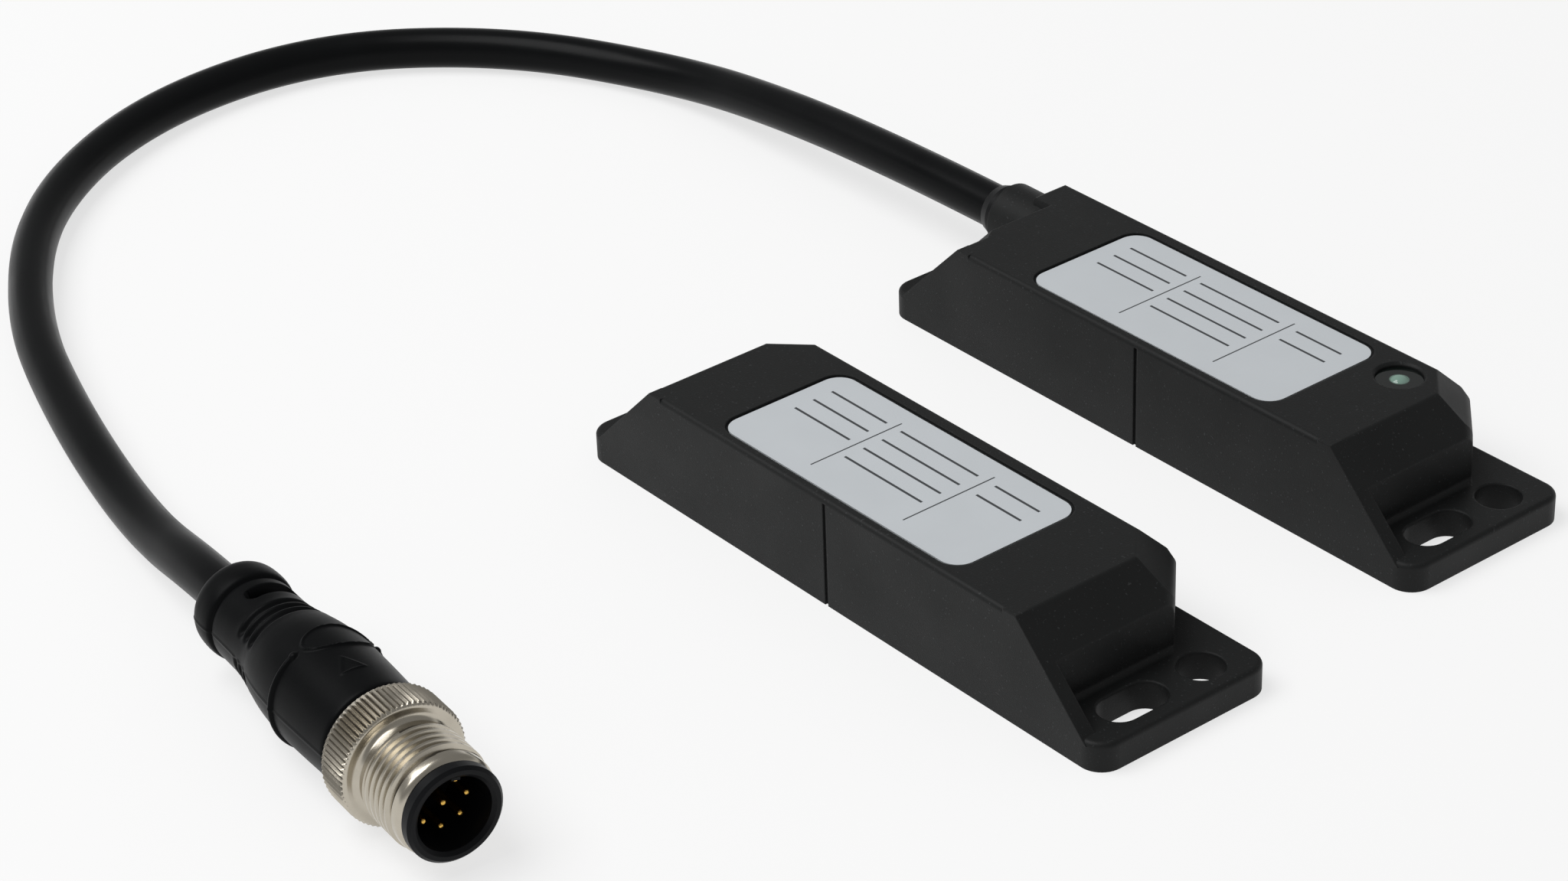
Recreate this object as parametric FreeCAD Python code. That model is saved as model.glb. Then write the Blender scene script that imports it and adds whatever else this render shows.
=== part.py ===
import FreeCAD, Part
import math
import os

# Non contact safety switch: a coded magnet sensor with a short lead and plug, and its matching actuator.
# Millimetres. X runs along the sensor towards its status light, Y across it, Z up from its base.

V = FreeCAD.Vector

# Outer form that the sensor and the actuator share
HOUSING_LENGTH = 88.0
HOUSING_WIDTH = 25.0
HOUSING_HEIGHT = 13.7
EAR_REACH = 8.7
END_SLOPE = 4.2
SIDE_FACET = 3.9
CORNER_CUT = 3.95
CORNER_FACET_DROP = 4.1
KNEE_ROUND = 2.5
TOP_ROUND = 0.6
WALL = 1.6
TOP_WALL = 1.8

# Fixing ears and the webs that brace them
EAR_THICKNESS = 3.5
EAR_CORNER_RADIUS = 2.8
EAR_EDGE_ROUND = 0.6
EAR_FOOT_RADIUS = 0.7
WEB_THICKNESS = 1.8
HOLE_INSET = 4.4
ROUND_HOLE_DIAMETER = 5.3
ROUND_HOLE_SIDE_GAP = 6.4
SLOT_WIDTH = 4.8
SLOT_LENGTH = 8.7
SLOT_SIDE_GAP = 8.7
HOLE_ROUND = 0.25

# Centre mark on the sensing face and the label recess on top
MARK_WIDTH = 0.5
MARK_DEPTH = 0.3
MARK_TOP_GAP = 0.6
LABEL_LENGTH = 40.2
LABEL_WIDTH = 17.8
LABEL_CORNER = 2.4
LABEL_THICKNESS = 0.2
LABEL_SIDE_GAP = 1.5
LABEL_GAP = 0.35
LABEL_RECESS_DEPTH = 0.35

# Cable end of the sensor
BLOCK_WIDTH = 8.9
PAD_OUT = 1.0
PAD_WIDTH = 9.6
PAD_SLANT = 1.5
CABLE_DIAMETER = 5.6
CABLE_SIDE_GAP = 7.5
CABLE_DROP = 5.2
NECK_DIAMETER = 8.4
NECK_LENGTH = 5.5
BOOT_DIAMETER = 7.0
BOOT_REACH = 2.4
BOOT_SEAT = 4.6
BOOT_TIP_DIAMETER = 6.2
BOOT_TAPER = 1.2
CABLE_REACH_IN = 5.8
GLAND_DEPTH = 4.0

# Inside the sensor
RESIN_DEPTH = 3.4
BOARD_END_GAP = 4.7
BOARD_SIDE_GAP = 2.4
BOARD_THICKNESS = 1.0
BOARD_X = 2.0
BOARD_CORNER = 1.0
REED_DIAMETER = 2.2
REED_COUNT = 3
REED_GAP = 6.0
REED_END_GAP = 2.0
REED_SIDE_GAP = 2.5
REED_LIFT = 0.4
LEAD_DIAMETER = 0.6
LEAD_REACH = 1.6
LEAD_CLEARANCE = 0.1
CHIP_LENGTH = 3.2
CHIP_WIDTH = 1.6
CHIP_HEIGHT = 0.6
CHIP_COUNT = 4
CHIP_SPACING = 7.0
CHIP_PAD_GAP = 8.5
CHIP_LIGHT_SHIFT = 3.5
CORE_DIAMETER = 0.9
CORE_CIRCLE = 3.2
CORE_COUNT = 8
CORE_PITCH = 1.1
CORE_SIDE_GAP = 0.8
CORE_REACH = 8.5

# Status light
LIGHT_INSET = 5.75
LIGHT_SIDE_GAP = 8.0
LIGHT_RECESS_DIAMETER = 5.6
LIGHT_RECESS_DEPTH = 0.9
LIGHT_RECESS_ROUND = 0.3
LENS_HOLE_DIAMETER = 4.6
LENS_CLEARANCE = 0.05
LENS_DOME_DIAMETER = 3.0
LENS_DOME_TOP_GAP = 0.15
LENS_FLANGE_RISE = 0.35
LENS_PIPE_DIAMETER = 3.0
LAMP_SIZE = 2.8
LAMP_HEIGHT = 1.0
LAMP_GAP = 0.3

# Actuator
ACTUATOR_X = 2.3
ACTUATOR_Y = -48.5
TRAY_END_GAP = 3.7
TRAY_SIDE_GAP = 2.4
TRAY_WIDTH = 12.0
TRAY_HEIGHT = 6.0
TRAY_FLOOR = 1.2
MAGNET_COUNT = 3
MAGNET_GAP = 6.0
MAGNET_WIDTH = 6.0
MAGNET_HEIGHT = 4.0
MAGNET_EDGE = 3.0
MAGNET_CLEARANCE = 0.1

# Plug, along its own axis from the rear end
PLUG_FACE_X = 16.0
PLUG_FACE_Y = -119.8
PLUG_TURN = -5.6
PLUG_ROLL = 18.0
KEY_ROLL = 10.0
COLLAR_RADIUS = 5.6
COLLAR_LENGTH = 5.0
GRIP_RADIUS = 5.1
WAIST_RADIUS = 5.4
WAIST_START = 10.3
WAIST_END = 15.0
BODY_RADIUS = 6.6
BODY_WIDEST_AT = 22.0
BODY_FRONT_RADIUS = 6.3
BODY_FRONT_AT = 32.9
NOSE_RADIUS = 5.9
NOSE_END = 34.8
RIB_COUNT = 3
RIB_PITCH = 1.45
RIB_GROOVE_RADIUS = 0.4
RIB_ARC = 160.0
WINDOW_WIDTH = 6.6
WINDOW_LENGTH = 1.8
WINDOW_AT = 7.75
WINDOW_DEPTH = 1.6
BEAD_AT = 22.0
BEAD_RADIUS = 0.35
BEAD_ARC = 270.0
BEAD_END_RADIUS = 0.5
OVAL_LENGTH = 4.3
OVAL_WIDTH = 8.6
OVAL_AT = 22.0
OVAL_RISE = 0.18
ARROW_AT = 27.5
ARROW_SIZE = 2.5
CORD_DEPTH_IN_PLUG = 10.0
CORE_MOULD_RADIUS = 4.3
CORE_MOULD_END = 28.0
CARRIER_RADIUS = 4.75
CARRIER_STEM_RADIUS = 3.9
CARRIER_START = 26.0
RIM_RADIUS = 5.5
RIM_START = 47.9
FACE_AT = 49.3
CUP_RADIUS = 4.25
CUP_DEPTH = 8.2
KEY_WIDTH = 1.0
KEY_HEIGHT = 0.6
PIN_DIAMETER = 0.8
PIN_REACH = 5.6
PIN_ROOT = 3.0
PIN_CIRCLE = 5.5
PIN_RING_COUNT = 7

# Coupling nut
NUT_START = 33.9
NUT_RADIUS = 7.3
KNURL_LENGTH = 4.8
KNURL_COUNT = 54
KNURL_DEPTH = 0.38
KNURL_CHAMFER = 0.45
NUT_END = 47.6
THREAD_RADIUS = 6.0
THREAD_PITCH = 1.0
THREAD_DEPTH = 0.55
THREAD_TURNS = 5
THREAD_LEAD = 1.7
NUT_BORE_CLEARANCE = 0.25
NUT_NOSE_CLEARANCE = 0.35

# Lead: corners of its route over the surface that it lies on, chosen by hand
CABLE_FIRST_CORNER_X = -58.0
CABLE_FIRST_DROP = 1.6
CABLE_FIRST_LOW = (-84.5, 5.5)
CABLE_ROUTE = [
    (-110.5, 6.5),
    (-135.0, -5.5),
    (-151.5, -26.5),
    (-151.5, -54.0),
    (-137.0, -79.0),
    (-111.5, -96.0),
    (-84.5, -105.0),
    (-58.5, -111.0),
]
CABLE_LIE_CLEARANCE = 0.05
CABLE_PLUG_RUN = 5.0
BEND_SHARE = 0.45

# Places and fits that follow from the sizes above
HALF_WIDTH = HOUSING_WIDTH / 2
END_WALL_X = HOUSING_LENGTH / 2 - EAR_REACH
TOP_EDGE_X = END_WALL_X - END_SLOPE
HOLE_X = HOUSING_LENGTH / 2 - HOLE_INSET
ROUND_HOLE_Y = HALF_WIDTH - ROUND_HOLE_SIDE_GAP
SLOT_Y = SLOT_SIDE_GAP - HALF_WIDTH
LABEL_Y = LABEL_SIDE_GAP + LABEL_WIDTH / 2 - HALF_WIDTH
BLOCK_Y = HALF_WIDTH - BLOCK_WIDTH
PAD_LEFT_Y = BLOCK_Y - PAD_WIDTH
CABLE_Y = HALF_WIDTH - CABLE_SIDE_GAP
CABLE_Z = HOUSING_HEIGHT - CABLE_DROP
CABLE_LIE = CABLE_DIAMETER / 2 + CABLE_LIE_CLEARANCE
NECK_END_X = -END_WALL_X - NECK_LENGTH
CABLE_INNER_X = -END_WALL_X + CABLE_REACH_IN
BOARD_TOP = RESIN_DEPTH + BOARD_THICKNESS
BOARD_LENGTH = 2 * (END_WALL_X - WALL - BOARD_END_GAP)
BOARD_WIDTH = HOUSING_WIDTH - 2 * (WALL + BOARD_SIDE_GAP)
REED_SPACING = (BOARD_LENGTH - 2 * REED_END_GAP) / REED_COUNT
REED_LENGTH = REED_SPACING - REED_GAP
REED_Y = REED_SIDE_GAP - BOARD_WIDTH / 2
LIGHT_X = TOP_EDGE_X - LIGHT_INSET
LIGHT_Y = HALF_WIDTH - LIGHT_SIDE_GAP
PAD_ROW_X = CABLE_INNER_X + CORE_REACH
PAD_ROW_Y = BOARD_WIDTH / 2 - CORE_SIDE_GAP - CORE_PITCH * (CORE_COUNT - 1) / 2
TRAY_LENGTH = 2 * (END_WALL_X - WALL - TRAY_END_GAP)
TRAY_Y = WALL + TRAY_SIDE_GAP + TRAY_WIDTH / 2 - HALF_WIDTH
MAGNET_SPACING = (TRAY_LENGTH - 2 * MAGNET_EDGE) / MAGNET_COUNT
MAGNET_LENGTH = MAGNET_SPACING - MAGNET_GAP


def prism(points, push):
    """Solid made by pushing a closed outline of 3D points along a vector."""
    outline = Part.makePolygon([V(*p) for p in points] + [V(*points[0])])
    return Part.Face(outline).extrude(V(*push))


def box(low, high):
    """Box between two opposite corners."""
    size = [b - a for a, b in zip(low, high)]
    return Part.makeBox(size[0], size[1], size[2], V(*low))


def rod(diameter, start, end):
    """Round bar between two points."""
    a = V(*start)
    b = V(*end)
    return Part.makeCylinder(diameter / 2, (b - a).Length, a, b - a)


def turned(profile):
    """Solid turned about the X axis from (place, radius) points."""
    outline = Part.makePolygon([V(s, 0, r) for s, r in profile] + [V(profile[0][0], 0, profile[0][1])])
    return Part.Face(outline).revolve(V(0, 0, 0), V(1, 0, 0), 360)


def rounded_slab(length, width, corner, low, high, x=0.0, y=0.0):
    """Flat slab with round corners, centred at x and y."""
    slab = box((x - length / 2, y - width / 2, low), (x + length / 2, y + width / 2, high))
    upright = [e for e in slab.Edges if abs(e.Vertexes[0].X - e.Vertexes[1].X) < 1e-6
               and abs(e.Vertexes[0].Y - e.Vertexes[1].Y) < 1e-6]
    return slab.makeFillet(corner, upright)


def joined(first, *others):
    """One solid from touching ones, with the seams between them removed."""
    return first.fuse(list(others)).removeSplitter()


def edges_where(shape, test):
    """Edges whose two ends both pass a test."""
    return [e for e in shape.Edges if len(e.Vertexes) == 2 and all(test(v.Point) for v in e.Vertexes)]


def corner_cutter(end, inset):
    """Takes one right-hand corner off the body: an upright wall at 45 degrees under a sloping facet."""
    slant = inset * math.sqrt(2)
    reach_top = (TOP_EDGE_X + HALF_WIDTH - SIDE_FACET - CORNER_CUT) / math.sqrt(2)
    facet_sum = reach_top + HOUSING_HEIGHT - slant
    wall = reach_top + CORNER_FACET_DROP - inset
    over = HOUSING_HEIGHT + 1
    outline = [
        (facet_sum - over, over),
        (wall, facet_sum - wall),
        (wall, -2.0),
        (wall + HOUSING_LENGTH, -2.0),
        (wall + HOUSING_LENGTH, over),
    ]
    aside = (END_WALL_X - HALF_WIDTH) / 2
    half = SIDE_FACET + CORNER_CUT + 2
    points = []
    for s, z in outline:
        step = s / math.sqrt(2)
        points.append((end * (step + aside - half), step - aside + half, z))
    return prism(points, (end * 2 * half, -2 * half, 0))


def body_block(inset, low, high):
    """Body between the end walls, with every side moved inwards by inset, from height low to high."""
    slant = inset * math.sqrt(2)
    end = END_WALL_X - inset
    left = -HALF_WIDTH + inset
    right = HALF_WIDTH - inset
    end_sum = TOP_EDGE_X + HOUSING_HEIGHT - slant
    side_sum = HALF_WIDTH - SIDE_FACET + HOUSING_HEIGHT - slant
    along = [(end, low), (end, end_sum - end), (end_sum - high, high)]
    along += [(-x, z) for x, z in reversed(along)]
    across = [(left, low), (right, low), (right, side_sum - right), (side_sum - high, high), (left, high)]
    lengthwise = prism([(x, left - 1, z) for x, z in along], (0, right - left + 2, 0))
    crosswise = prism([(-end - 1, y, z) for y, z in across], (2 * end + 2, 0, 0))
    body = lengthwise.common(crosswise)
    for side in (1, -1):
        body = body.cut(corner_cutter(side, inset))
    return body


def rounded_body():
    """Outer body with its edges eased as the mould eases them."""
    body = body_block(0.0, 0.0, HOUSING_HEIGHT)
    knee = HOUSING_HEIGHT - CORNER_FACET_DROP
    knees = edges_where(body, lambda p: abs(p.z - knee) < 1.0 and p.y > -HALF_WIDTH + 1)
    body = body.makeFillet(KNEE_ROUND, knees)
    top = edges_where(body, lambda p: p.z > HOUSING_HEIGHT - 1e-4)
    return body.makeFillet(TOP_ROUND, top)


def cable_end_block():
    """Squared shoulder and raised pad that surround the cable on the sensor's far end."""
    side_sum = HALF_WIDTH - SIDE_FACET + HOUSING_HEIGHT
    across = [
        (BLOCK_Y, 0),
        (HALF_WIDTH, 0),
        (HALF_WIDTH, side_sum - HALF_WIDTH),
        (HALF_WIDTH - SIDE_FACET, HOUSING_HEIGHT),
        (BLOCK_Y, HOUSING_HEIGHT),
    ]
    inner_x = -TOP_EDGE_X + CORNER_CUT + 1.0
    shoulder = prism([(-END_WALL_X, y, z) for y, z in across], (END_WALL_X + inner_x, 0, 0))
    eased = edges_where(shoulder, lambda p: p.z > HOUSING_HEIGHT - 1e-4 and p.x < -END_WALL_X + 1e-4)
    eased += edges_where(shoulder, lambda p: p.z > HOUSING_HEIGHT - 1e-4 and p.y > BLOCK_Y + 1)
    shoulder = shoulder.makeFillet(TOP_ROUND, eased)
    slope = END_WALL_X - TOP_EDGE_X + 2.0
    plan = [
        (-TOP_EDGE_X + 1.5, PAD_LEFT_Y - PAD_SLANT),
        (-TOP_EDGE_X, PAD_LEFT_Y - PAD_SLANT),
        (-TOP_EDGE_X - PAD_OUT, PAD_LEFT_Y),
        (-TOP_EDGE_X - PAD_OUT, BLOCK_Y + 0.5),
        (-TOP_EDGE_X + 1.5, BLOCK_Y + 0.5),
    ]
    pad = prism([(x, y, HOUSING_HEIGHT) for x, y in plan], (-slope, 0, -slope))
    room = box((-END_WALL_X, -HALF_WIDTH, EAR_THICKNESS), (0, HALF_WIDTH, HOUSING_HEIGHT))
    neck = rod(NECK_DIAMETER, (-TOP_EDGE_X, CABLE_Y, CABLE_Z), (NECK_END_X, CABLE_Y, CABLE_Z))
    return joined(shoulder, pad.common(room), neck)


def slot_cutter(x):
    """Slot across an ear, for a screw and its adjustment."""
    half = (SLOT_LENGTH - SLOT_WIDTH) / 2
    low = -1
    high = EAR_THICKNESS + 1
    ends = []
    for y in (SLOT_Y - half, SLOT_Y + half):
        ends.append(rod(SLOT_WIDTH, (x, y, low), (x, y, high)))
    middle = box((x - SLOT_WIDTH / 2, SLOT_Y - half, low), (x + SLOT_WIDTH / 2, SLOT_Y + half, high))
    return joined(middle, *ends)


def base_plate(with_cable):
    """Plate under the whole housing whose two ends are the fixing ears, with their screw holes."""
    plate = rounded_slab(HOUSING_LENGTH, HOUSING_WIDTH, EAR_CORNER_RADIUS, 0, EAR_THICKNESS)
    beyond = END_WALL_X + 1.0
    rim = edges_where(plate, lambda p: p.z > EAR_THICKNESS - 1e-4 and abs(p.x) > beyond)
    plate = plate.makeFillet(EAR_EDGE_ROUND, rim)
    cuts = [slot_cutter(HOLE_X), slot_cutter(-HOLE_X)]
    for end in (1,) if with_cable else (1, -1):
        cuts.append(rod(ROUND_HOLE_DIAMETER, (end * HOLE_X, ROUND_HOLE_Y, -1),
                        (end * HOLE_X, ROUND_HOLE_Y, EAR_THICKNESS + 1)))
    plate = plate.cut(cuts)
    reach = max(ROUND_HOLE_DIAMETER, SLOT_WIDTH) / 2 + 0.01
    lips = []
    for edge in plate.Edges:
        span = edge.BoundBox
        near = max(abs(span.XMin), abs(span.XMax)) < HOLE_X + reach
        far = min(abs(span.XMin), abs(span.XMax)) > HOLE_X - reach
        if span.ZMin > EAR_THICKNESS - 1e-4 and near and far:
            lips.append(edge)
    return plate.makeFillet(HOLE_ROUND, lips)


def ear_web(end):
    """Triangular web that carries the slope of the end on to the ear, flush with the sensing face."""
    inner = TOP_EDGE_X - 2.0
    foot_z = EAR_THICKNESS - EAR_EDGE_ROUND
    foot_x = TOP_EDGE_X + HOUSING_HEIGHT - foot_z
    outline = [
        (end * inner, foot_z),
        (end * foot_x, foot_z),
        (end * TOP_EDGE_X, HOUSING_HEIGHT),
        (end * inner, HOUSING_HEIGHT),
    ]
    return prism([(x, -HALF_WIDTH, z) for x, z in outline], (0, WEB_THICKNESS, 0))


def label_pocket():
    """Shallow recess that takes the label."""
    low = HOUSING_HEIGHT - LABEL_RECESS_DEPTH
    grow = 2 * LABEL_GAP
    return rounded_slab(LABEL_LENGTH + grow, LABEL_WIDTH + grow, LABEL_CORNER + LABEL_GAP,
                        low, HOUSING_HEIGHT + 1, 0, LABEL_Y)


def centre_mark():
    """Narrow groove up the sensing face that marks the middle of the housing."""
    return box((-MARK_WIDTH / 2, -HALF_WIDTH - 1, -1),
               (MARK_WIDTH / 2, -HALF_WIDTH + MARK_DEPTH, HOUSING_HEIGHT - MARK_TOP_GAP))


def light_opening():
    """Round recess with an eased lip and the hole below it for the status lens."""
    top = HOUSING_HEIGHT
    deep = top - LIGHT_RECESS_DEPTH
    radius = LIGHT_RECESS_DIAMETER / 2
    recess = rod(2 * radius, (LIGHT_X, LIGHT_Y, deep), (LIGHT_X, LIGHT_Y, top + 1))
    flare = Part.makeCone(radius, radius + LIGHT_RECESS_ROUND + 0.1, LIGHT_RECESS_ROUND + 0.1,
                          V(LIGHT_X, LIGHT_Y, top - LIGHT_RECESS_ROUND))
    hole = rod(LENS_HOLE_DIAMETER, (LIGHT_X, LIGHT_Y, top - TOP_WALL - 1), (LIGHT_X, LIGHT_Y, deep + 0.1))
    return joined(recess, flare, hole)


def gland_bore():
    """Stepped bore through the cable end for the boot and the cable."""
    seat = NECK_END_X + BOOT_SEAT
    mouth = NECK_END_X - BOOT_REACH - 1
    inner = -END_WALL_X + WALL + GLAND_DEPTH
    boot = rod(BOOT_DIAMETER, (mouth, CABLE_Y, CABLE_Z), (seat, CABLE_Y, CABLE_Z))
    cord = rod(CABLE_DIAMETER, (seat - 0.1, CABLE_Y, CABLE_Z), (inner, CABLE_Y, CABLE_Z))
    return joined(boot, cord)


def moulded_housing(with_cable):
    """Open-bottomed plastic shell with its ears; the sensor's has the cable end and the light too."""
    shell = joined(base_plate(with_cable), rounded_body(), ear_web(1), ear_web(-1))
    if with_cable:
        shell = joined(shell, cable_end_block())
    foot = edges_where(shell, lambda p: abs(p.z - EAR_THICKNESS) < 1e-4 and abs(abs(p.x) - END_WALL_X) < 1e-4)
    foot = [e for e in foot if e.Vertexes[0].X > 0 or not with_cable]
    shell = shell.makeFillet(EAR_FOOT_RADIUS, foot)
    cuts = [body_block(WALL, -1.0, HOUSING_HEIGHT - TOP_WALL), label_pocket(), centre_mark()]
    if with_cable:
        cuts += [light_opening(), gland_bore()]
    return shell.cut(cuts)


def resin_fill():
    """Cast resin that closes the open bottom flush with the base."""
    return body_block(WALL, 0.0, RESIN_DEPTH)


def label():
    """Thin printed plate that lies in the label recess."""
    low = HOUSING_HEIGHT - LABEL_RECESS_DEPTH
    return rounded_slab(LABEL_LENGTH, LABEL_WIDTH, LABEL_CORNER, low, low + LABEL_THICKNESS, 0, LABEL_Y)


def reed_places():
    """Middle of each reed contact."""
    return [BOARD_X + REED_SPACING * (i - (REED_COUNT - 1) / 2) for i in range(REED_COUNT)]


def reed_height():
    """Height of the reed contacts' axis."""
    return BOARD_TOP + REED_LIFT + REED_DIAMETER / 2


def lead_x(place, side):
    """Where a reed's lead goes down through the board."""
    return place + side * (REED_LENGTH / 2 + LEAD_REACH)


def circuit_board():
    """Board with holes for the reed leads."""
    board = rounded_slab(BOARD_LENGTH, BOARD_WIDTH, BOARD_CORNER, RESIN_DEPTH, BOARD_TOP, BOARD_X, 0)
    holes = []
    for place in reed_places():
        for side in (-1, 1):
            x = lead_x(place, side)
            holes.append(rod(LEAD_DIAMETER + 2 * LEAD_CLEARANCE, (x, REED_Y, RESIN_DEPTH - 1),
                             (x, REED_Y, BOARD_TOP + 1)))
    return board.cut(holes)


def reed_glass(place):
    """Sealed glass tube of one reed contact, with round ends."""
    tube = rod(REED_DIAMETER, (place - REED_LENGTH / 2, REED_Y, reed_height()),
               (place + REED_LENGTH / 2, REED_Y, reed_height()))
    ends = [e for e in tube.Edges if e.Curve.TypeId == "Part::GeomCircle"]
    return tube.makeFillet(REED_DIAMETER / 4, ends)


def reed_leads(place):
    """The two wires of one reed contact, each bent down into the board."""
    wires = []
    z = reed_height()
    bend = LEAD_REACH * 0.6
    rise = bend * (1 - math.cos(math.pi / 4))
    for side in (-1, 1):
        end = place + side * REED_LENGTH / 2
        x = lead_x(place, side)
        path = Part.Wire([
            Part.makeLine(V(end, REED_Y, z), V(x - side * bend, REED_Y, z)),
            Part.Arc(V(x - side * bend, REED_Y, z), V(x - side * rise, REED_Y, z - rise),
                     V(x, REED_Y, z - bend)).toShape(),
            Part.makeLine(V(x, REED_Y, z - bend), V(x, REED_Y, RESIN_DEPTH)),
        ])
        ring = Part.Wire([Part.makeCircle(LEAD_DIAMETER / 2, V(end, REED_Y, z), V(1, 0, 0))])
        wires.append(path.makePipeShell([ring], True, False))
    return Part.makeCompound(wires)


def chip_resistors():
    """Row of small surface-mounted resistors on the board."""
    y = LIGHT_Y - CHIP_LIGHT_SHIFT
    chips = []
    for i in range(CHIP_COUNT):
        x = PAD_ROW_X + CHIP_PAD_GAP + CHIP_SPACING * i
        chips.append(box((x - CHIP_LENGTH / 2, y - CHIP_WIDTH / 2, BOARD_TOP),
                         (x + CHIP_LENGTH / 2, y + CHIP_WIDTH / 2, BOARD_TOP + CHIP_HEIGHT)))
    return Part.makeCompound(chips)


def status_lamp():
    """Small lamp on the board under the lens, with a round bowl in its top."""
    lamp = rounded_slab(LAMP_SIZE, LAMP_SIZE, 0.2, BOARD_TOP, BOARD_TOP + LAMP_HEIGHT, LIGHT_X, LIGHT_Y)
    bowl = Part.makeCone(0.7, 1.0, 0.4, V(LIGHT_X, LIGHT_Y, BOARD_TOP + LAMP_HEIGHT - 0.3))
    return lamp.cut(bowl)


def status_lens():
    """Clear insert: a light pipe, a plug in the housing's hole, and a domed window on top."""
    deep = HOUSING_HEIGHT - LIGHT_RECESS_DEPTH
    seat = HOUSING_HEIGHT - TOP_WALL
    flange_top = deep + LENS_FLANGE_RISE
    dome_radius = LENS_DOME_DIAMETER / 2
    dome_centre = HOUSING_HEIGHT - LENS_DOME_TOP_GAP - dome_radius
    pipe_low = BOARD_TOP + LAMP_HEIGHT + LAMP_GAP
    plug = LENS_HOLE_DIAMETER / 2 - LENS_CLEARANCE
    flange = LIGHT_RECESS_DIAMETER / 2 - LENS_CLEARANCE
    middle = V(LIGHT_X, LIGHT_Y, 0)
    pieces = [
        Part.makeCylinder(LENS_PIPE_DIAMETER / 2, seat - pipe_low + 0.1, middle + V(0, 0, pipe_low)),
        Part.makeCylinder(plug, deep - seat + 0.1, middle + V(0, 0, seat)),
        Part.makeCylinder(flange, flange_top - deep, middle + V(0, 0, deep)),
    ]
    if dome_centre > flange_top:
        pieces.append(Part.makeCylinder(dome_radius, dome_centre - deep, middle + V(0, 0, deep)))
    ball = Part.makeSphere(dome_radius, middle + V(0, 0, dome_centre))
    keep = Part.makeCylinder(dome_radius + 1, HOUSING_HEIGHT, middle + V(0, 0, deep))
    pieces.append(ball.common(keep))
    return joined(*pieces)


def core_end(index):
    """Where one core leaves the stripped cable."""
    turn = 2 * math.pi * (index + 0.5) / CORE_COUNT
    out = CORE_CIRCLE / 2
    return V(CABLE_INNER_X, CABLE_Y + out * math.cos(turn), CABLE_Z + out * math.sin(turn))


def core_wires():
    """Insulated cores that fan out from the cable's end down to their pads on the board."""
    order = sorted(range(CORE_COUNT), key=lambda i: core_end(i).y)
    wires = []
    for rank, index in enumerate(order):
        start = core_end(index)
        pad = V(PAD_ROW_X, PAD_ROW_Y + CORE_PITCH * (rank - (CORE_COUNT - 1) / 2), BOARD_TOP)
        knee_a = V(start.x + 1.2, start.y, start.z)
        knee_b = V(pad.x, pad.y, BOARD_TOP + 1.6)
        route = rounded_path([start, knee_a, knee_b, pad], 0.4)
        ring = Part.Wire([Part.makeCircle(CORE_DIAMETER / 2, start, V(1, 0, 0))])
        wires.append(route.makePipeShell([ring], True, False))
    return Part.makeCompound(wires)


def cable_boot():
    """Rubber sleeve round the cable, seated in the neck and tapered where the cable leaves it."""
    seat = NECK_END_X + BOOT_SEAT
    tip = NECK_END_X - BOOT_REACH
    radius = BOOT_DIAMETER / 2
    profile = [
        (seat, CABLE_DIAMETER / 2),
        (seat, radius),
        (tip + BOOT_TAPER, radius),
        (tip, BOOT_TIP_DIAMETER / 2),
        (tip, CABLE_DIAMETER / 2),
    ]
    sleeve = turned(profile)
    sleeve.translate(V(0, CABLE_Y, CABLE_Z))
    return sleeve


def rounded_path(corners, share):
    """Wire through corner points, each corner swapped for a tangent arc that uses up to share of its runs."""
    parts = []
    here = corners[0]
    for before, corner, after in zip(corners, corners[1:], corners[2:]):
        run = min((corner - before).Length, (after - corner).Length) * share
        toward = (before - corner).normalize()
        away = (after - corner).normalize()
        start = corner + toward * run
        end = corner + away * run
        half_turn = (math.pi - toward.getAngle(away)) / 2
        radius = run / math.tan(half_turn)
        inwards = (toward + away).normalize()
        middle = corner + inwards * (radius / math.cos(half_turn) - radius)
        parts.append(Part.LineSegment(here, start).toShape())
        parts.append(Part.Arc(start, middle, end).toShape())
        here = end
    parts.append(Part.LineSegment(here, corners[-1]).toShape())
    return Part.Wire(parts)


def plug_point(along, side=0.0, up=0.0):
    """Place in the row's frame of a point given along the plug's axis."""
    turn = math.radians(PLUG_TURN)
    back = along - FACE_AT
    return V(PLUG_FACE_X + back * math.cos(turn) - side * math.sin(turn),
             PLUG_FACE_Y + back * math.sin(turn) + side * math.cos(turn),
             NUT_RADIUS + up)


def rolled(shape, turn):
    """Turns a shape about the plug's axis, from the top towards the sensor."""
    shape.rotate(V(0, 0, 0), V(1, 0, 0), -turn)
    return shape


def placed_on_plug(shape):
    """Moves a shape modelled along X on to the plug's axis."""
    shape.rotate(V(0, 0, 0), V(0, 0, 1), PLUG_TURN)
    shape.translate(plug_point(0))
    return shape


def cable_corners():
    """Every corner of the lead's route, with its hidden ends in the sensor and in the plug."""
    corners = [V(CABLE_INNER_X, CABLE_Y, CABLE_Z)]
    corners.append(V(CABLE_FIRST_CORNER_X, CABLE_Y, CABLE_Z))
    corners.append(V(*CABLE_FIRST_LOW, CABLE_Z - CABLE_FIRST_DROP))
    corners += [V(x, y, CABLE_LIE) for x, y in CABLE_ROUTE]
    corners.append(plug_point(-CABLE_PLUG_RUN))
    corners.append(plug_point(CORD_DEPTH_IN_PLUG))
    return corners


def cable():
    """Outer jacket of the lead, as one plain tube."""
    corners = cable_corners()
    route = rounded_path(corners, BEND_SHARE)
    ring = Part.Wire([Part.makeCircle(CABLE_DIAMETER / 2, corners[0], V(1, 0, 0))])
    return route.makePipeShell([ring], True, False)


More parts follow.
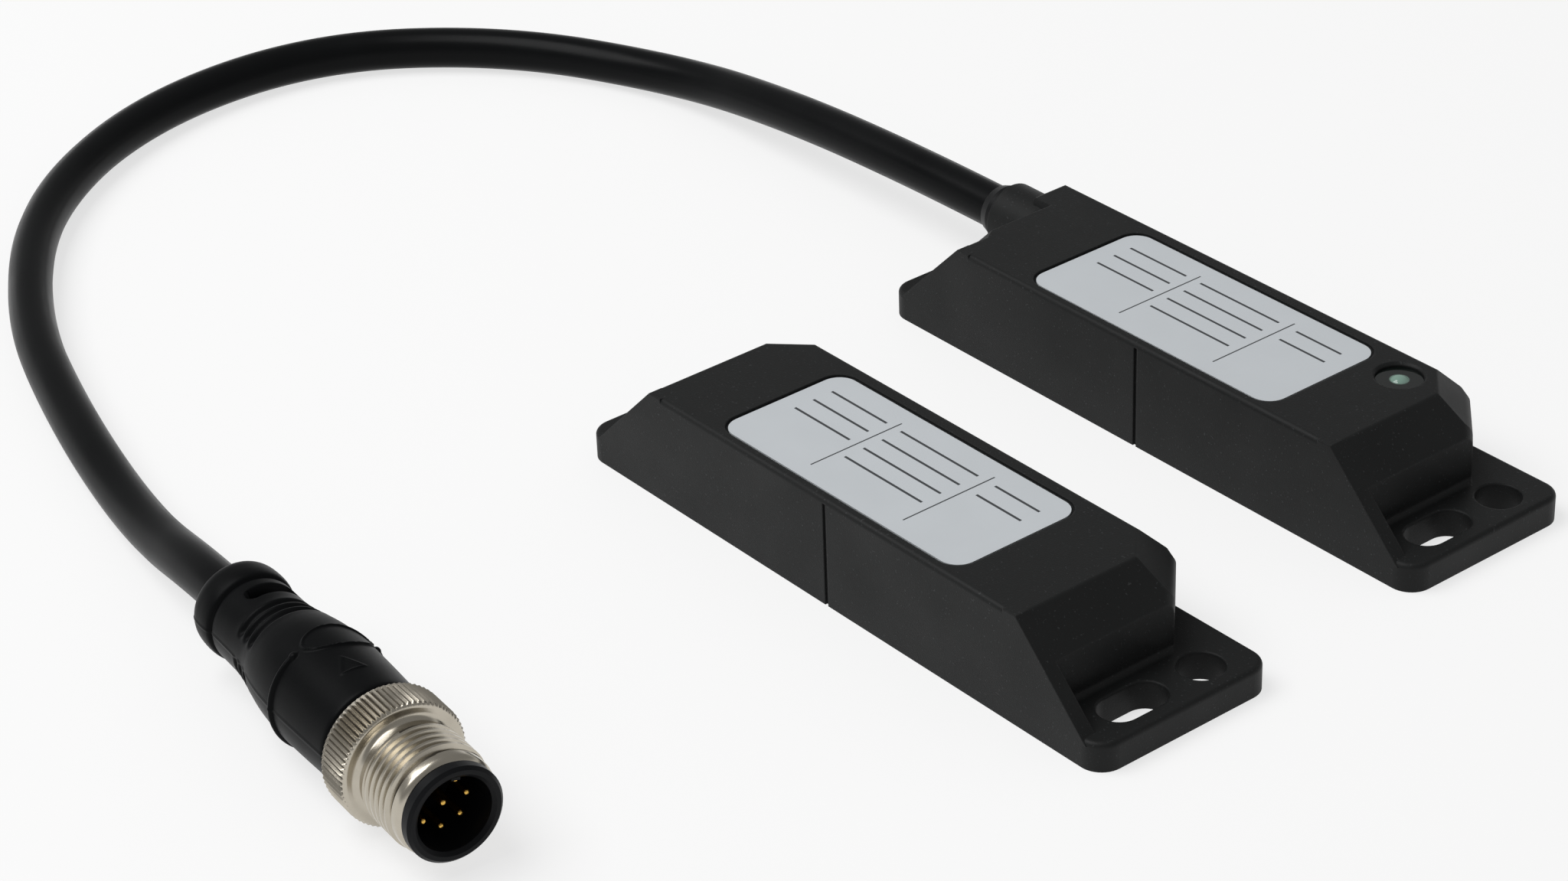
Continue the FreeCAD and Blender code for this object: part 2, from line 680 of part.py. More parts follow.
def print_cable():
    """Prints the bend radii, the free length and the volume next to section times length."""
    corners = cable_corners()
    for before, corner, after in zip(corners, corners[1:], corners[2:]):
        run = min((corner - before).Length, (after - corner).Length) * BEND_SHARE
        half_turn = (math.pi - (before - corner).getAngle(after - corner)) / 2
        turn = round(math.degrees(2 * half_turn), 1)
        print("bend radius", round(run / math.tan(half_turn), 1), "turn", turn)
    length = rounded_path(corners, BEND_SHARE).Length
    hidden = CABLE_INNER_X - (NECK_END_X - BOOT_REACH) + CORD_DEPTH_IN_PLUG
    section = math.pi * CABLE_DIAMETER ** 2 / 4
    print("cable length", round(length, 1), "free", round(length - hidden, 1))
    print("volume", round(cable().Volume, 1), "section times length", round(section * length, 1))


def plug_profile(extra=0.0):
    """Half outline of the plug's soft body, from the rear to the nose."""
    return [
        (0, 0),
        (0, COLLAR_RADIUS - 1.2 + extra),
        (0.35, COLLAR_RADIUS - 0.5 + extra),
        (1.1, COLLAR_RADIUS + extra),
        (2.2, COLLAR_RADIUS + extra),
        (COLLAR_LENGTH - 0.3, COLLAR_RADIUS - 0.4 + extra),
        (COLLAR_LENGTH, GRIP_RADIUS - 0.25 + extra),
        (COLLAR_LENGTH + 0.5, GRIP_RADIUS + extra),
        (WAIST_START, GRIP_RADIUS + extra),
        (WAIST_END, WAIST_RADIUS + extra),
        (WAIST_END + 1.6, BODY_RADIUS - 0.62 + extra),
        (WAIST_END + 3.4, BODY_RADIUS - 0.2 + extra),
        (BODY_WIDEST_AT, BODY_RADIUS + extra),
        (BODY_FRONT_AT - 0.4, BODY_FRONT_RADIUS + extra),
        (BODY_FRONT_AT, BODY_FRONT_RADIUS - 0.3 + extra),
        (BODY_FRONT_AT, NOSE_RADIUS),
        (NOSE_END, NOSE_RADIUS),
        (NOSE_END, 0),
    ]


def rib_grooves():
    """Grooves across the top and the bottom of the waist that let it flex."""
    cutters = []
    first = WAIST_START + 0.9
    for i in range(RIB_COUNT):
        at = first + RIB_PITCH * i
        share = (at - WAIST_START) / (WAIST_END - WAIST_START)
        radius = GRIP_RADIUS + (WAIST_RADIUS - GRIP_RADIUS) * share
        ring = Part.Wire([Part.makeCircle(RIB_GROOVE_RADIUS, V(at, 0, radius + 0.05), V(0, 1, 0))])
        for face in (0, 180):
            groove = Part.Face(ring).revolve(V(0, 0, 0), V(1, 0, 0), RIB_ARC)
            groove.rotate(V(0, 0, 0), V(1, 0, 0), face - RIB_ARC / 2)
            cutters.append(groove)
    return cutters


def grip_windows():
    """Long pockets through the skin behind the waist, one on top and one below."""
    pockets = []
    for side in (1, -1):
        pocket = rounded_slab(WINDOW_LENGTH, WINDOW_WIDTH, WINDOW_LENGTH / 2 - 0.001,
                              GRIP_RADIUS - WINDOW_DEPTH, GRIP_RADIUS + 1, WINDOW_AT, 0)
        if side < 0:
            pocket.rotate(V(0, 0, 0), V(1, 0, 0), 180)
        pockets.append(pocket)
    return pockets


def bead():
    """Thin raised ring that stops short either side of the top, with a round end at each side."""
    share = (BEAD_AT - BODY_WIDEST_AT) / (BODY_FRONT_AT - BODY_WIDEST_AT)
    radius = BODY_RADIUS + (BODY_FRONT_RADIUS - BODY_RADIUS) * share
    ring = Part.Wire([Part.makeCircle(BEAD_RADIUS, V(BEAD_AT, 0, radius), V(0, 1, 0))])
    start = (360 - BEAD_ARC) / 2
    loop = Part.Face(ring).revolve(V(0, 0, 0), V(1, 0, 0), BEAD_ARC)
    loop.rotate(V(0, 0, 0), V(1, 0, 0), start)
    balls = []
    for side in (1, -1):
        turn = math.radians(side * start)
        end = V(BEAD_AT, -radius * math.sin(turn), radius * math.cos(turn))
        balls.append(Part.makeSphere(BEAD_END_RADIUS, end))
    return joined(loop, *balls)


def on_plug_skin(column):
    """Cuts an upright column down to a thin pad on the plug's skin."""
    return turned(plug_profile(OVAL_RISE)).common(column)


def oval_pad():
    """Plain oval that stands a little proud of the top."""
    rim = Part.Ellipse(V(0, 0, 0), OVAL_WIDTH / 2, OVAL_LENGTH / 2).toShape()
    rim.rotate(V(0, 0, 0), V(0, 0, 1), 90)
    rim.translate(V(OVAL_AT, 0, 0))
    return on_plug_skin(Part.Face(Part.Wire([rim])).extrude(V(0, 0, BODY_RADIUS + 2)))


def arrowhead():
    """Small arrowhead that shows how the plug's key is turned."""
    half = ARROW_SIZE / 2
    corners = [(ARROW_AT + half, -half, 0), (ARROW_AT - half, 0, 0), (ARROW_AT + half, half, 0)]
    return on_plug_skin(prism(corners, (0, 0, BODY_RADIUS + 2)))


def plug_body():
    """Soft overmould of the plug, cored for the cable and the parts it grips."""
    body = turned(plug_profile())
    body = body.cut(rib_grooves() + grip_windows())
    body = rolled(joined(body, bead(), oval_pad()), PLUG_ROLL)
    body = joined(body, arrowhead())
    cores = [
        rod(CABLE_DIAMETER, (-1, 0, 0), (CORD_DEPTH_IN_PLUG, 0, 0)),
        rod(2 * CORE_MOULD_RADIUS, (CORD_DEPTH_IN_PLUG, 0, 0), (CORE_MOULD_END, 0, 0)),
        rod(2 * CARRIER_RADIUS, (CORE_MOULD_END, 0, 0), (NOSE_END + 1, 0, 0)),
    ]
    return placed_on_plug(body.cut(cores))


def inner_mould():
    """Hard core moulded round the soldered ends of the wires, inside the plug's body."""
    solid = rod(2 * CORE_MOULD_RADIUS, (CORD_DEPTH_IN_PLUG, 0, 0), (CORE_MOULD_END, 0, 0))
    stem = rod(2 * CARRIER_STEM_RADIUS, (CARRIER_START, 0, 0), (CORE_MOULD_END + 1, 0, 0))
    return placed_on_plug(solid.cut(stem))


def pin_places():
    """Centres of the contacts across the plug: one in the middle and a ring with a gap at the key."""
    places = [(0.0, 0.0)]
    for i in range(PIN_RING_COUNT):
        turn = math.radians(90 + 360 * (i + 0.5) / PIN_RING_COUNT)
        places.append((PIN_CIRCLE / 2 * math.cos(turn), PIN_CIRCLE / 2 * math.sin(turn)))
    return places


def contact_carrier():
    """Insulator that holds the contacts, with its keyed cup and the rim in front of the nut."""
    profile = [
        (CARRIER_START, 0),
        (CARRIER_START, CARRIER_STEM_RADIUS),
        (CORE_MOULD_END, CARRIER_STEM_RADIUS),
        (CORE_MOULD_END, CARRIER_RADIUS),
        (RIM_START, CARRIER_RADIUS),
        (RIM_START, RIM_RADIUS),
        (FACE_AT - 0.35, RIM_RADIUS),
        (FACE_AT, RIM_RADIUS - 0.35),
        (FACE_AT, 0),
    ]
    floor = FACE_AT - CUP_DEPTH
    lip = FACE_AT + 0.1
    lip_radius = CUP_RADIUS + 0.5
    cup = turned([(floor, 0), (floor, CUP_RADIUS), (FACE_AT - 0.4, CUP_RADIUS), (lip, lip_radius), (lip, 0)])
    key = box((floor - 0.1, -KEY_WIDTH / 2, CUP_RADIUS - KEY_HEIGHT),
              (FACE_AT - 0.8, KEY_WIDTH / 2, CUP_RADIUS + 0.2))
    solid = joined(turned(profile).cut(cup), key)
    holes = [rod(PIN_DIAMETER, (floor - PIN_ROOT, y, z), (floor + 1, y, z)) for y, z in pin_places()]
    return placed_on_plug(rolled(solid.cut(holes), KEY_ROLL))


def contact_pins():
    """The eight contacts, with round tips."""
    floor = FACE_AT - CUP_DEPTH
    radius = PIN_DIAMETER / 2
    pins = []
    for y, z in pin_places():
        shaft = rod(PIN_DIAMETER, (floor - PIN_ROOT, y, z), (floor + PIN_REACH, y, z))
        tip = [e for e in shaft.Edges if e.Curve.TypeId == "Part::GeomCircle" and e.Vertexes[0].X > floor]
        pins.append(shaft.makeFillet(radius * 0.8, tip))
    return placed_on_plug(rolled(Part.makeCompound(pins), KEY_ROLL))


def thread_profile():
    """Zigzag outline of the nut's thread, from the knurl to the plain lead in front."""
    points = []
    root = THREAD_RADIUS - THREAD_DEPTH
    last = NUT_END - THREAD_LEAD
    first = last - THREAD_PITCH * THREAD_TURNS
    points.append((NUT_START + KNURL_LENGTH, root))
    points.append((first - 0.3, root))
    for i in range(THREAD_TURNS):
        at = first + THREAD_PITCH * i
        points.append((at + 0.1, THREAD_RADIUS))
        points.append((at + 0.3, THREAD_RADIUS))
        points.append((at + 0.65, root))
        points.append((at + 0.75, root))
    points.append((last + 0.1, THREAD_RADIUS))
    points.append((NUT_END - 0.35, THREAD_RADIUS))
    points.append((NUT_END, THREAD_RADIUS - 0.35))
    return points


def knurl_prism():
    """Prism with straight V grooves all round, for the grip of the nut."""
    points = []
    for i in range(KNURL_COUNT):
        for share, radius in ((0.0, NUT_RADIUS), (0.22, NUT_RADIUS), (0.61, NUT_RADIUS - KNURL_DEPTH)):
            turn = 2 * math.pi * (i + share) / KNURL_COUNT
            points.append((NUT_START, radius * math.cos(turn), radius * math.sin(turn)))
    return prism(points, (KNURL_LENGTH, 0, 0))


def coupling_nut():
    """Knurled nut with an external thread that turns freely on the contact carrier."""
    knurl_end = NUT_START + KNURL_LENGTH
    blank = turned([
        (NUT_START, 0),
        (NUT_START, NUT_RADIUS - KNURL_CHAMFER),
        (NUT_START + KNURL_CHAMFER, NUT_RADIUS),
        (knurl_end - KNURL_CHAMFER, NUT_RADIUS),
        (knurl_end, NUT_RADIUS - KNURL_CHAMFER),
        (knurl_end, 0),
    ])
    grip = blank.common(knurl_prism())
    root = [(knurl_end - 1, 0), (knurl_end - 1, THREAD_RADIUS - THREAD_DEPTH)]
    core = turned(root + thread_profile() + [(NUT_END, 0)])
    bore = rod(2 * (CARRIER_RADIUS + NUT_BORE_CLEARANCE), (NUT_START - 1, 0, 0), (NUT_END + 1, 0, 0))
    mouth_end = NOSE_END + NUT_NOSE_CLEARANCE
    mouth = rod(2 * (NOSE_RADIUS + NUT_NOSE_CLEARANCE), (NUT_START - 1, 0, 0), (mouth_end, 0, 0))
    return placed_on_plug(joined(grip, core).cut([bore, mouth]))


def on_actuator(shape):
    """Moves a shape modelled on the sensor's axes to the actuator's place."""
    shape.translate(V(ACTUATOR_X, ACTUATOR_Y, 0))
    return shape


def magnet_places():
    """Middle of each magnet along the actuator."""
    return [MAGNET_SPACING * (i - (MAGNET_COUNT - 1) / 2) for i in range(MAGNET_COUNT)]


def magnet_tray():
    """Open tray that locates the coded magnets behind the sensing face."""
    low = RESIN_DEPTH
    tray = rounded_slab(TRAY_LENGTH, TRAY_WIDTH, 1.0, low, low + TRAY_HEIGHT, 0, TRAY_Y)
    half = MAGNET_LENGTH / 2 + MAGNET_CLEARANCE
    aside = MAGNET_WIDTH / 2 + MAGNET_CLEARANCE
    pockets = []
    for x in magnet_places():
        pockets.append(box((x - half, TRAY_Y - aside, low + TRAY_FLOOR),
                           (x + half, TRAY_Y + aside, low + TRAY_HEIGHT + 1)))
    return tray.cut(pockets)


def magnet(x):
    """One block magnet in its pocket."""
    low = RESIN_DEPTH + TRAY_FLOOR
    return box((x - MAGNET_LENGTH / 2, TRAY_Y - MAGNET_WIDTH / 2, low),
               (x + MAGNET_LENGTH / 2, TRAY_Y + MAGNET_WIDTH / 2, low + MAGNET_HEIGHT))


def all_parts():
    """Every sub-part by node name."""
    parts = {
        "switch_housing": moulded_housing(True),
        "switch_resin": resin_fill(),
        "switch_label": label(),
        "circuit_board": circuit_board(),
        "chip_resistors": chip_resistors(),
        "status_lamp": status_lamp(),
        "status_lens": status_lens(),
        "core_wires": core_wires(),
        "cable_boot": cable_boot(),
        "cable": cable(),
        "plug_body": plug_body(),
        "plug_inner_mould": inner_mould(),
        "contact_carrier": contact_carrier(),
        "contact_pins": contact_pins(),
        "coupling_nut": coupling_nut(),
        "actuator_housing": on_actuator(moulded_housing(False)),
        "actuator_resin": on_actuator(resin_fill()),
        "actuator_label": on_actuator(label()),
        "magnet_tray": on_actuator(magnet_tray()),
    }
    for number, place in enumerate(reed_places(), 1):
        parts[f"reed_glass_{number}"] = reed_glass(place)
        parts[f"reed_leads_{number}"] = reed_leads(place)
    for number, place in enumerate(magnet_places(), 1):
        parts[f"magnet_{number}"] = on_actuator(magnet(place))
    return parts


def main():
    """Builds each sub-part and writes it as a STEP file."""
    os.makedirs("parts", exist_ok=True)
    for name, shape in all_parts().items():
        shape.exportStep(f"parts/{name}.step")
        print(name, "solids", len(shape.Solids), "valid", shape.isValid(), "volume", round(shape.Volume, 1))
    print_cable()


main()
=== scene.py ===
"""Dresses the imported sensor, actuator, lead and plug, and lights them as a studio picture."""

import logging
import math
from dataclasses import dataclass, field
from enum import Enum
from typing import Dict, List, Optional, Sequence, Tuple, Union

import bpy
from mathutils import Matrix, Vector


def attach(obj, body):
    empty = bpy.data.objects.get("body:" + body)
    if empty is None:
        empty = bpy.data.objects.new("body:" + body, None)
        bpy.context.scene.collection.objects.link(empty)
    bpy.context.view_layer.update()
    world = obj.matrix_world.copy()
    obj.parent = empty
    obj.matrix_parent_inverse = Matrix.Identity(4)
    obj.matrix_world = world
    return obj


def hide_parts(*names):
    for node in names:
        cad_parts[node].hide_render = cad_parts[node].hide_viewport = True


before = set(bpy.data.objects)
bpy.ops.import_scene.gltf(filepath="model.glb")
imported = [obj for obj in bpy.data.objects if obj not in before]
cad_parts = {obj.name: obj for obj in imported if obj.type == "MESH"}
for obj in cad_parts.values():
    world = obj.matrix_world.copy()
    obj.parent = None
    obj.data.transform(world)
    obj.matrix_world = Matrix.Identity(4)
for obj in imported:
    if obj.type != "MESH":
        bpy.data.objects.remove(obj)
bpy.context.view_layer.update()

LOG = logging.getLogger("scene")
MM = 0.001
Point = Tuple[float, float, float]
Profile = List[Tuple[float, float]]

# The plug's axis in the shared frame, as the solids have it: its face, its turn about Z and its height
PLUG_FACE_X = 16.0
PLUG_FACE_Y = -119.8
PLUG_AXIS_Z = 7.3
PLUG_TURN = math.radians(-5.6)
PLUG_LENGTH = 49.3

# Slow drift of a pigment over a moulded surface, and the specks of glass, coarser than real so that they show
DRIFT_MM = 9.0
SPECK_MM = 0.3
SPECK_COLOUR = "#56585a"
SPECK_SHARE = 0.3
# The pale eye of the status lens ends in a soft edge, and a dark ring of painted shade surrounds it
EYE_EDGE_MM = (0.95, 1.2)
PAINTED_SHADE_RING_COLOUR = "#131917"


def linear(hex_colour: str) -> Tuple[float, float, float, float]:
    """Turns an sRGB hex colour into the linear values that a shader takes.

    Args:
        hex_colour: colour such as "#1a1b1c".

    Returns:
        Red, green, blue and an alpha of one.
    """
    parts = [int(hex_colour[i:i + 2], 16) / 255 for i in (1, 3, 5)]
    red, green, blue = [p / 12.92 if p <= 0.04045 else ((p + 0.055) / 1.055) ** 2.4 for p in parts]
    return red, green, blue, 1.0


def add_node(tree: bpy.types.NodeTree, kind: str, inputs: Optional[Dict] = None,
             **settings) -> bpy.types.Node:
    """Adds a shader node, sets it up and links it.

    Args:
        tree: the material's or world's node tree.
        kind: the node's type, such as "ShaderNodeBump".
        inputs: value or output socket for each input, by name or index.
        settings: the node's own properties.

    Returns:
        The new node.
    """
    node = tree.nodes.new(kind)
    for name, value in settings.items():
        setattr(node, name, value)
    for name, value in (inputs or {}).items():
        if isinstance(value, bpy.types.NodeSocket):
            tree.links.new(value, node.inputs[name])
        else:
            node.inputs[name].default_value = value
    return node


def new_material(name: str) -> Tuple[bpy.types.Material, bpy.types.NodeTree, bpy.types.Node, bpy.types.Node]:
    """Starts a material with a Principled shader on its output.

    Args:
        name: the material's name.

    Returns:
        The material, its tree, its shader and a Texture Coordinate node.
    """
    material = bpy.data.materials.new(name)
    material.use_nodes = True
    tree = material.node_tree
    tree.nodes.clear()
    shader = add_node(tree, "ShaderNodeBsdfPrincipled")
    add_node(tree, "ShaderNodeOutputMaterial", {"Surface": shader.outputs[0]})
    return material, tree, shader, add_node(tree, "ShaderNodeTexCoord")


class Grain(Enum):
    """How the mould or the tool left a surface."""

    SPARK_ERODED = "fine sparkling pits"
    SATIN = "soft matt skin"
    POLISHED = "nearly smooth"


@dataclass(frozen=True)
class MouldedFinish:
    """A moulded or extruded plastic or rubber.

    Attributes:
        name: material name, with its process.
        colour: sRGB hex of the pigment.
        roughness: middle roughness.
        grain: how the mould left the skin.
        grain_mm: size of one grain.
        depth_mm: depth of the grain.
        shine: level of the mirror part, less where the skin's pits swallow it.
        ior: index of refraction.
        edge_mm: radius of the soft edge that catches the light, or zero.
    """

    name: str
    colour: str
    roughness: float
    grain: Grain
    grain_mm: float
    depth_mm: float
    shine: float = 0.5
    ior: float = 1.5
    edge_mm: float = 0.0

    def build(self) -> bpy.types.Material:
        """Makes the material: pigment drift, grain bump and uneven gloss."""
        material, tree, shader, place = new_material(self.name)
        grain = add_node(tree, "ShaderNodeTexNoise",
                         {"Vector": place.outputs["Object"], "Scale": 1 / (self.grain_mm * MM), "Detail": 3.0,
                          "Roughness": 0.6})
        drift = add_node(tree, "ShaderNodeTexNoise",
                         {"Vector": place.outputs["Object"], "Scale": 1 / (DRIFT_MM * MM), "Detail": 4.0})
        base = linear(self.colour)
        light = tuple(min(1.0, c * 1.35 + 0.001) for c in base[:3]) + (1.0,)
        tint = add_node(tree, "ShaderNodeMix", {"Factor": drift.outputs["Fac"], "A": base, "B": light},
                        data_type="RGBA")
        if self.grain is Grain.SPARK_ERODED:
            glass = add_node(tree, "ShaderNodeTexNoise",
                             {"Vector": place.outputs["Object"], "Scale": 1 / (SPECK_MM * MM), "Detail": 1.0})
            speck = add_node(tree, "ShaderNodeMapRange",
                             {"Value": glass.outputs["Fac"], "From Min": 0.68, "From Max": 0.77,
                              "To Min": 0.0, "To Max": SPECK_SHARE})
            tint = add_node(tree, "ShaderNodeMix",
                            {"Factor": speck.outputs[0], "A": tint.outputs["Result"],
                             "B": linear(SPECK_COLOUR)},
                            data_type="RGBA")
        gloss = add_node(tree, "ShaderNodeMapRange",
                         {"Value": drift.outputs["Fac"], "From Min": 0.3, "From Max": 0.7,
                          "To Min": self.roughness - 0.05, "To Max": self.roughness + 0.05})
        skin = {"Height": grain.outputs["Fac"], "Distance": self.depth_mm * MM, "Strength": 1.0}
        if self.edge_mm:
            edge = add_node(tree, "ShaderNodeBevel", {"Radius": self.edge_mm * MM}, samples=6)
            skin["Normal"] = edge.outputs["Normal"]
        bump = add_node(tree, "ShaderNodeBump", skin)
        tree.links.new(tint.outputs["Result"], shader.inputs["Base Color"])
        tree.links.new(gloss.outputs[0], shader.inputs["Roughness"])
        tree.links.new(bump.outputs[0], shader.inputs["Normal"])
        shader.inputs["IOR"].default_value = self.ior
        shader.inputs["Specular IOR Level"].default_value = self.shine
        return material


@dataclass(frozen=True)
class MetalFinish:
    """A plated or drawn metal.

    Attributes:
        name: material name, with its process.
        colour: sRGB hex of the metal.
        roughness: middle roughness.
        scratch_mm: spacing of the tool marks.
        depth_mm: depth of the tool marks.
        axis: stretch of the marks along each axis, in the plug's own direction.
    """

    name: str
    colour: str
    roughness: float
    scratch_mm: float
    depth_mm: float
    axis: Point = (1.0, 1.0, 1.0)

    def build(self) -> bpy.types.Material:
        """Makes the material: metal with fine tool marks and faint stains in its plating."""
        material, tree, shader, place = new_material(self.name)
        turned = add_node(tree, "ShaderNodeMapping",
                          {"Vector": place.outputs["Object"], "Rotation": (0.0, 0.0, -PLUG_TURN),
                           "Scale": self.axis}, vector_type="TEXTURE")
        marks = add_node(tree, "ShaderNodeTexNoise",
                         {"Vector": turned.outputs[0], "Scale": 1 / (self.scratch_mm * MM), "Detail": 2.0})
        stain = add_node(tree, "ShaderNodeTexNoise",
                         {"Vector": place.outputs["Object"], "Scale": 1 / (2.5 * MM), "Detail": 5.0})
        base = linear(self.colour)
        dull = tuple(c * 0.86 for c in base[:3]) + (1.0,)
        tint = add_node(tree, "ShaderNodeMix", {"Factor": stain.outputs["Fac"], "A": base, "B": dull},
                        data_type="RGBA")
        gloss = add_node(tree, "ShaderNodeMapRange",
                         {"Value": stain.outputs["Fac"], "From Min": 0.3, "From Max": 0.7,
                          "To Min": self.roughness - 0.05, "To Max": self.roughness + 0.07})
        bump = add_node(tree, "ShaderNodeBump",
                        {"Height": marks.outputs["Fac"], "Distance": self.depth_mm * MM, "Strength": 1.0})
        tree.links.new(tint.outputs["Result"], shader.inputs["Base Color"])
        tree.links.new(gloss.outputs[0], shader.inputs["Roughness"])
        tree.links.new(bump.outputs[0], shader.inputs["Normal"])
        shader.inputs["Metallic"].default_value = 1.0
        return material


@dataclass(frozen=True)
class ClearFinish:
    """A clear moulding or glass.

    Attributes:
        name: material name, with its process.
        colour: sRGB hex of its tint.
        roughness: roughness of its skin.
        ior: index of refraction.
        clearness: share of light that goes through.
        eye_mm: middle of the pale eye that a dark ring of painted shade surrounds, or nothing where it is
            clear all over.
    """

    name: str
    colour: str
    roughness: float
    ior: float
    clearness: float
    eye_mm: Tuple[float, ...] = ()

    def build(self) -> bpy.types.Material:
        """Makes the material: clear body with a barely uneven skin, and painted shade round its eye where it
        has one.
        """
        material, tree, shader, place = new_material(self.name)
        ripple = add_node(tree, "ShaderNodeTexNoise",
                          {"Vector": place.outputs["Object"], "Scale": 1 / (0.9 * MM), "Detail": 1.0})
        bump = add_node(tree, "ShaderNodeBump",
                        {"Height": ripple.outputs["Fac"], "Distance": 0.01 * MM, "Strength": 0.5})
        base = linear(self.colour)
        milky = tuple(c * 0.9 for c in base[:3]) + (1.0,)
        tint = add_node(tree, "ShaderNodeMix", {"Factor": ripple.outputs["Fac"], "A": base, "B": milky},
                        data_type="RGBA")
        # Painted shade: everything outside the pale eye is darkened to a near-black ring
        if self.eye_mm:
            moved = add_node(tree, "ShaderNodeMapping",
                             {"Vector": place.outputs["Object"],
                              "Location": (-self.eye_mm[0], -self.eye_mm[1], 0.0),
                              "Scale": (1 / MM, 1 / MM, 0.0)}, vector_type="POINT")
            away = add_node(tree, "ShaderNodeVectorMath", {0: moved.outputs[0]}, operation="LENGTH")
            ring = add_node(tree, "ShaderNodeMapRange",
                            {"Value": away.outputs["Value"], "From Min": EYE_EDGE_MM[0],
                             "From Max": EYE_EDGE_MM[1],
                             "To Min": 0.0, "To Max": 1.0})
            tint = add_node(tree, "ShaderNodeMix",
                            {"Factor": ring.outputs[0], "A": tint.outputs["Result"],
                             "B": linear(PAINTED_SHADE_RING_COLOUR)},
                            data_type="RGBA")
        tree.links.new(tint.outputs["Result"], shader.inputs["Base Color"])
        tree.links.new(bump.outputs[0], shader.inputs["Normal"])
        shader.inputs["Roughness"].default_value = self.roughness
        shader.inputs["IOR"].default_value = self.ior
        shader.inputs["Transmission Weight"].default_value = self.clearness
        return material


@dataclass(frozen=True)
class PrintedFilm:
    """Satin polyester film of the labels, printed with a plain ruled form.

    Attributes:
        name: material name, with its process.
        film: sRGB hex of the film.
        ink: sRGB hex of the ink.
        centre_mm: middle of the label.
        columns_mm: left end, right end and number of rules of each field.
        first_rule_mm: where the first rule of a field is, up from the middle.
        rule_gap_mm: gap between two rules.
        rule_half_mm: half of a rule's width.
        uprights_mm: places of the two uprights between the fields.
        upright_half_mm: half of an upright's width and height.
        edge_mm: half of the soft edge of the ink.
    """

    name: str
    film: str
    ink: str
    centre_mm: Tuple[float, float]
    columns_mm: Tuple[Tuple[float, float, int], ...] = ((-17.6, -8.0, 3), (-5.6, 7.4, 4), (10.2, 17.4, 2))
    first_rule_mm: float = 5.4
    rule_gap_mm: float = 2.7
    rule_half_mm: float = 0.17
    uprights_mm: Tuple[float, float] = (-6.8, 8.8)
    upright_half_mm: Tuple[float, float] = (0.1, 6.6)
    edge_mm: float = 0.03

    def build(self) -> bpy.types.Material:
        """Makes the material: film with a fine tooth and thin printed rules."""
        material, tree, shader, place = new_material(self.name)
        moved = add_node(tree, "ShaderNodeMapping",
                         {"Vector": place.outputs["Object"],
                          "Location": (-self.centre_mm[0], -self.centre_mm[1], 0.0),
                          "Scale": (1 / MM, 1 / MM, 1 / MM)}, vector_type="POINT")
        axes = add_node(tree, "ShaderNodeSeparateXYZ", {"Vector": moved.outputs[0]})
        ink = self._ruled_form(tree, axes.outputs["X"], axes.outputs["Y"])
        cloud = add_node(tree, "ShaderNodeTexNoise",
                         {"Vector": place.outputs["Object"], "Scale": 1 / (6 * MM), "Detail": 3.0})
        film = linear(self.film)
        shade = tuple(c * 0.93 for c in film[:3]) + (1.0,)
        tone = add_node(tree, "ShaderNodeMix", {"Factor": cloud.outputs["Fac"], "A": film, "B": shade},
                        data_type="RGBA")
        tint = add_node(tree, "ShaderNodeMix",
                        {"Factor": ink, "A": tone.outputs["Result"], "B": linear(self.ink)},
                        data_type="RGBA")
        tooth = add_node(tree, "ShaderNodeTexNoise",
                         {"Vector": place.outputs["Object"], "Scale": 1 / (0.12 * MM), "Detail": 1.0})
        bump = add_node(tree, "ShaderNodeBump",
                        {"Height": tooth.outputs["Fac"], "Distance": 0.004 * MM, "Strength": 0.6})
        tree.links.new(tint.outputs["Result"], shader.inputs["Base Color"])
        tree.links.new(bump.outputs[0], shader.inputs["Normal"])
        shader.inputs["Roughness"].default_value = 0.42
        shader.inputs["IOR"].default_value = 1.55
        return material

    def _bar(self, tree: bpy.types.NodeTree, across: bpy.types.NodeSocket, middle: float,
             half: float) -> bpy.types.NodeSocket:
        """Ink where a coordinate lies within half of a middle value, with a soft edge.

        Args:
            tree: the material's tree.
            across: the coordinate, in millimetres.
            middle: where the bar's middle is.
            half: half of the bar's width.

        Returns:
            One on the bar and zero off it.
        """
        away = add_node(tree, "ShaderNodeMath", {0: across, 1: middle}, operation="SUBTRACT")
        size = add_node(tree, "ShaderNodeMath", {0: away.outputs[0]}, operation="ABSOLUTE")
        return add_node(tree, "ShaderNodeMapRange",
                        {"Value": size.outputs[0], "From Min": half + self.edge_mm,
                         "From Max": half - self.edge_mm, "To Min": 0.0, "To Max": 1.0}).outputs[0]

    def _ruled_form(self, tree: bpy.types.NodeTree, x: bpy.types.NodeSocket,
                    y: bpy.types.NodeSocket) -> bpy.types.NodeSocket:
        """Fields of ruled lines with an upright between each two.

        Args:
            tree: the material's tree.
            x: place along the label, in millimetres from its middle.
            y: place across the label, in millimetres from its middle.

        Returns:
            The ink's mask.
        """
        marks = []
        for left, right, rows in self.columns_mm:
            column = self._bar(tree, x, (left + right) / 2, (right - left) / 2)
            for row in range(rows):
                marks.append((column, self._bar(tree, y, self.first_rule_mm - self.rule_gap_mm * row,
                                                self.rule_half_mm)))
        for middle in self.uprights_mm:
            marks.append((self._bar(tree, x, middle, self.upright_half_mm[0]),
                          self._bar(tree, y, 0.0, self.upright_half_mm[1])))
        ink = None
        for across, along in marks:
            mark = add_node(tree, "ShaderNodeMath", {0: across, 1: along}, operation="MULTIPLY").outputs[0]
            if ink is not None:
                mark = add_node(tree, "ShaderNodeMath", {0: ink, 1: mark}, operation="MAXIMUM").outputs[0]
            ink = mark
        return ink


Finish = Union[MouldedFinish, MetalFinish, ClearFinish, PrintedFilm]

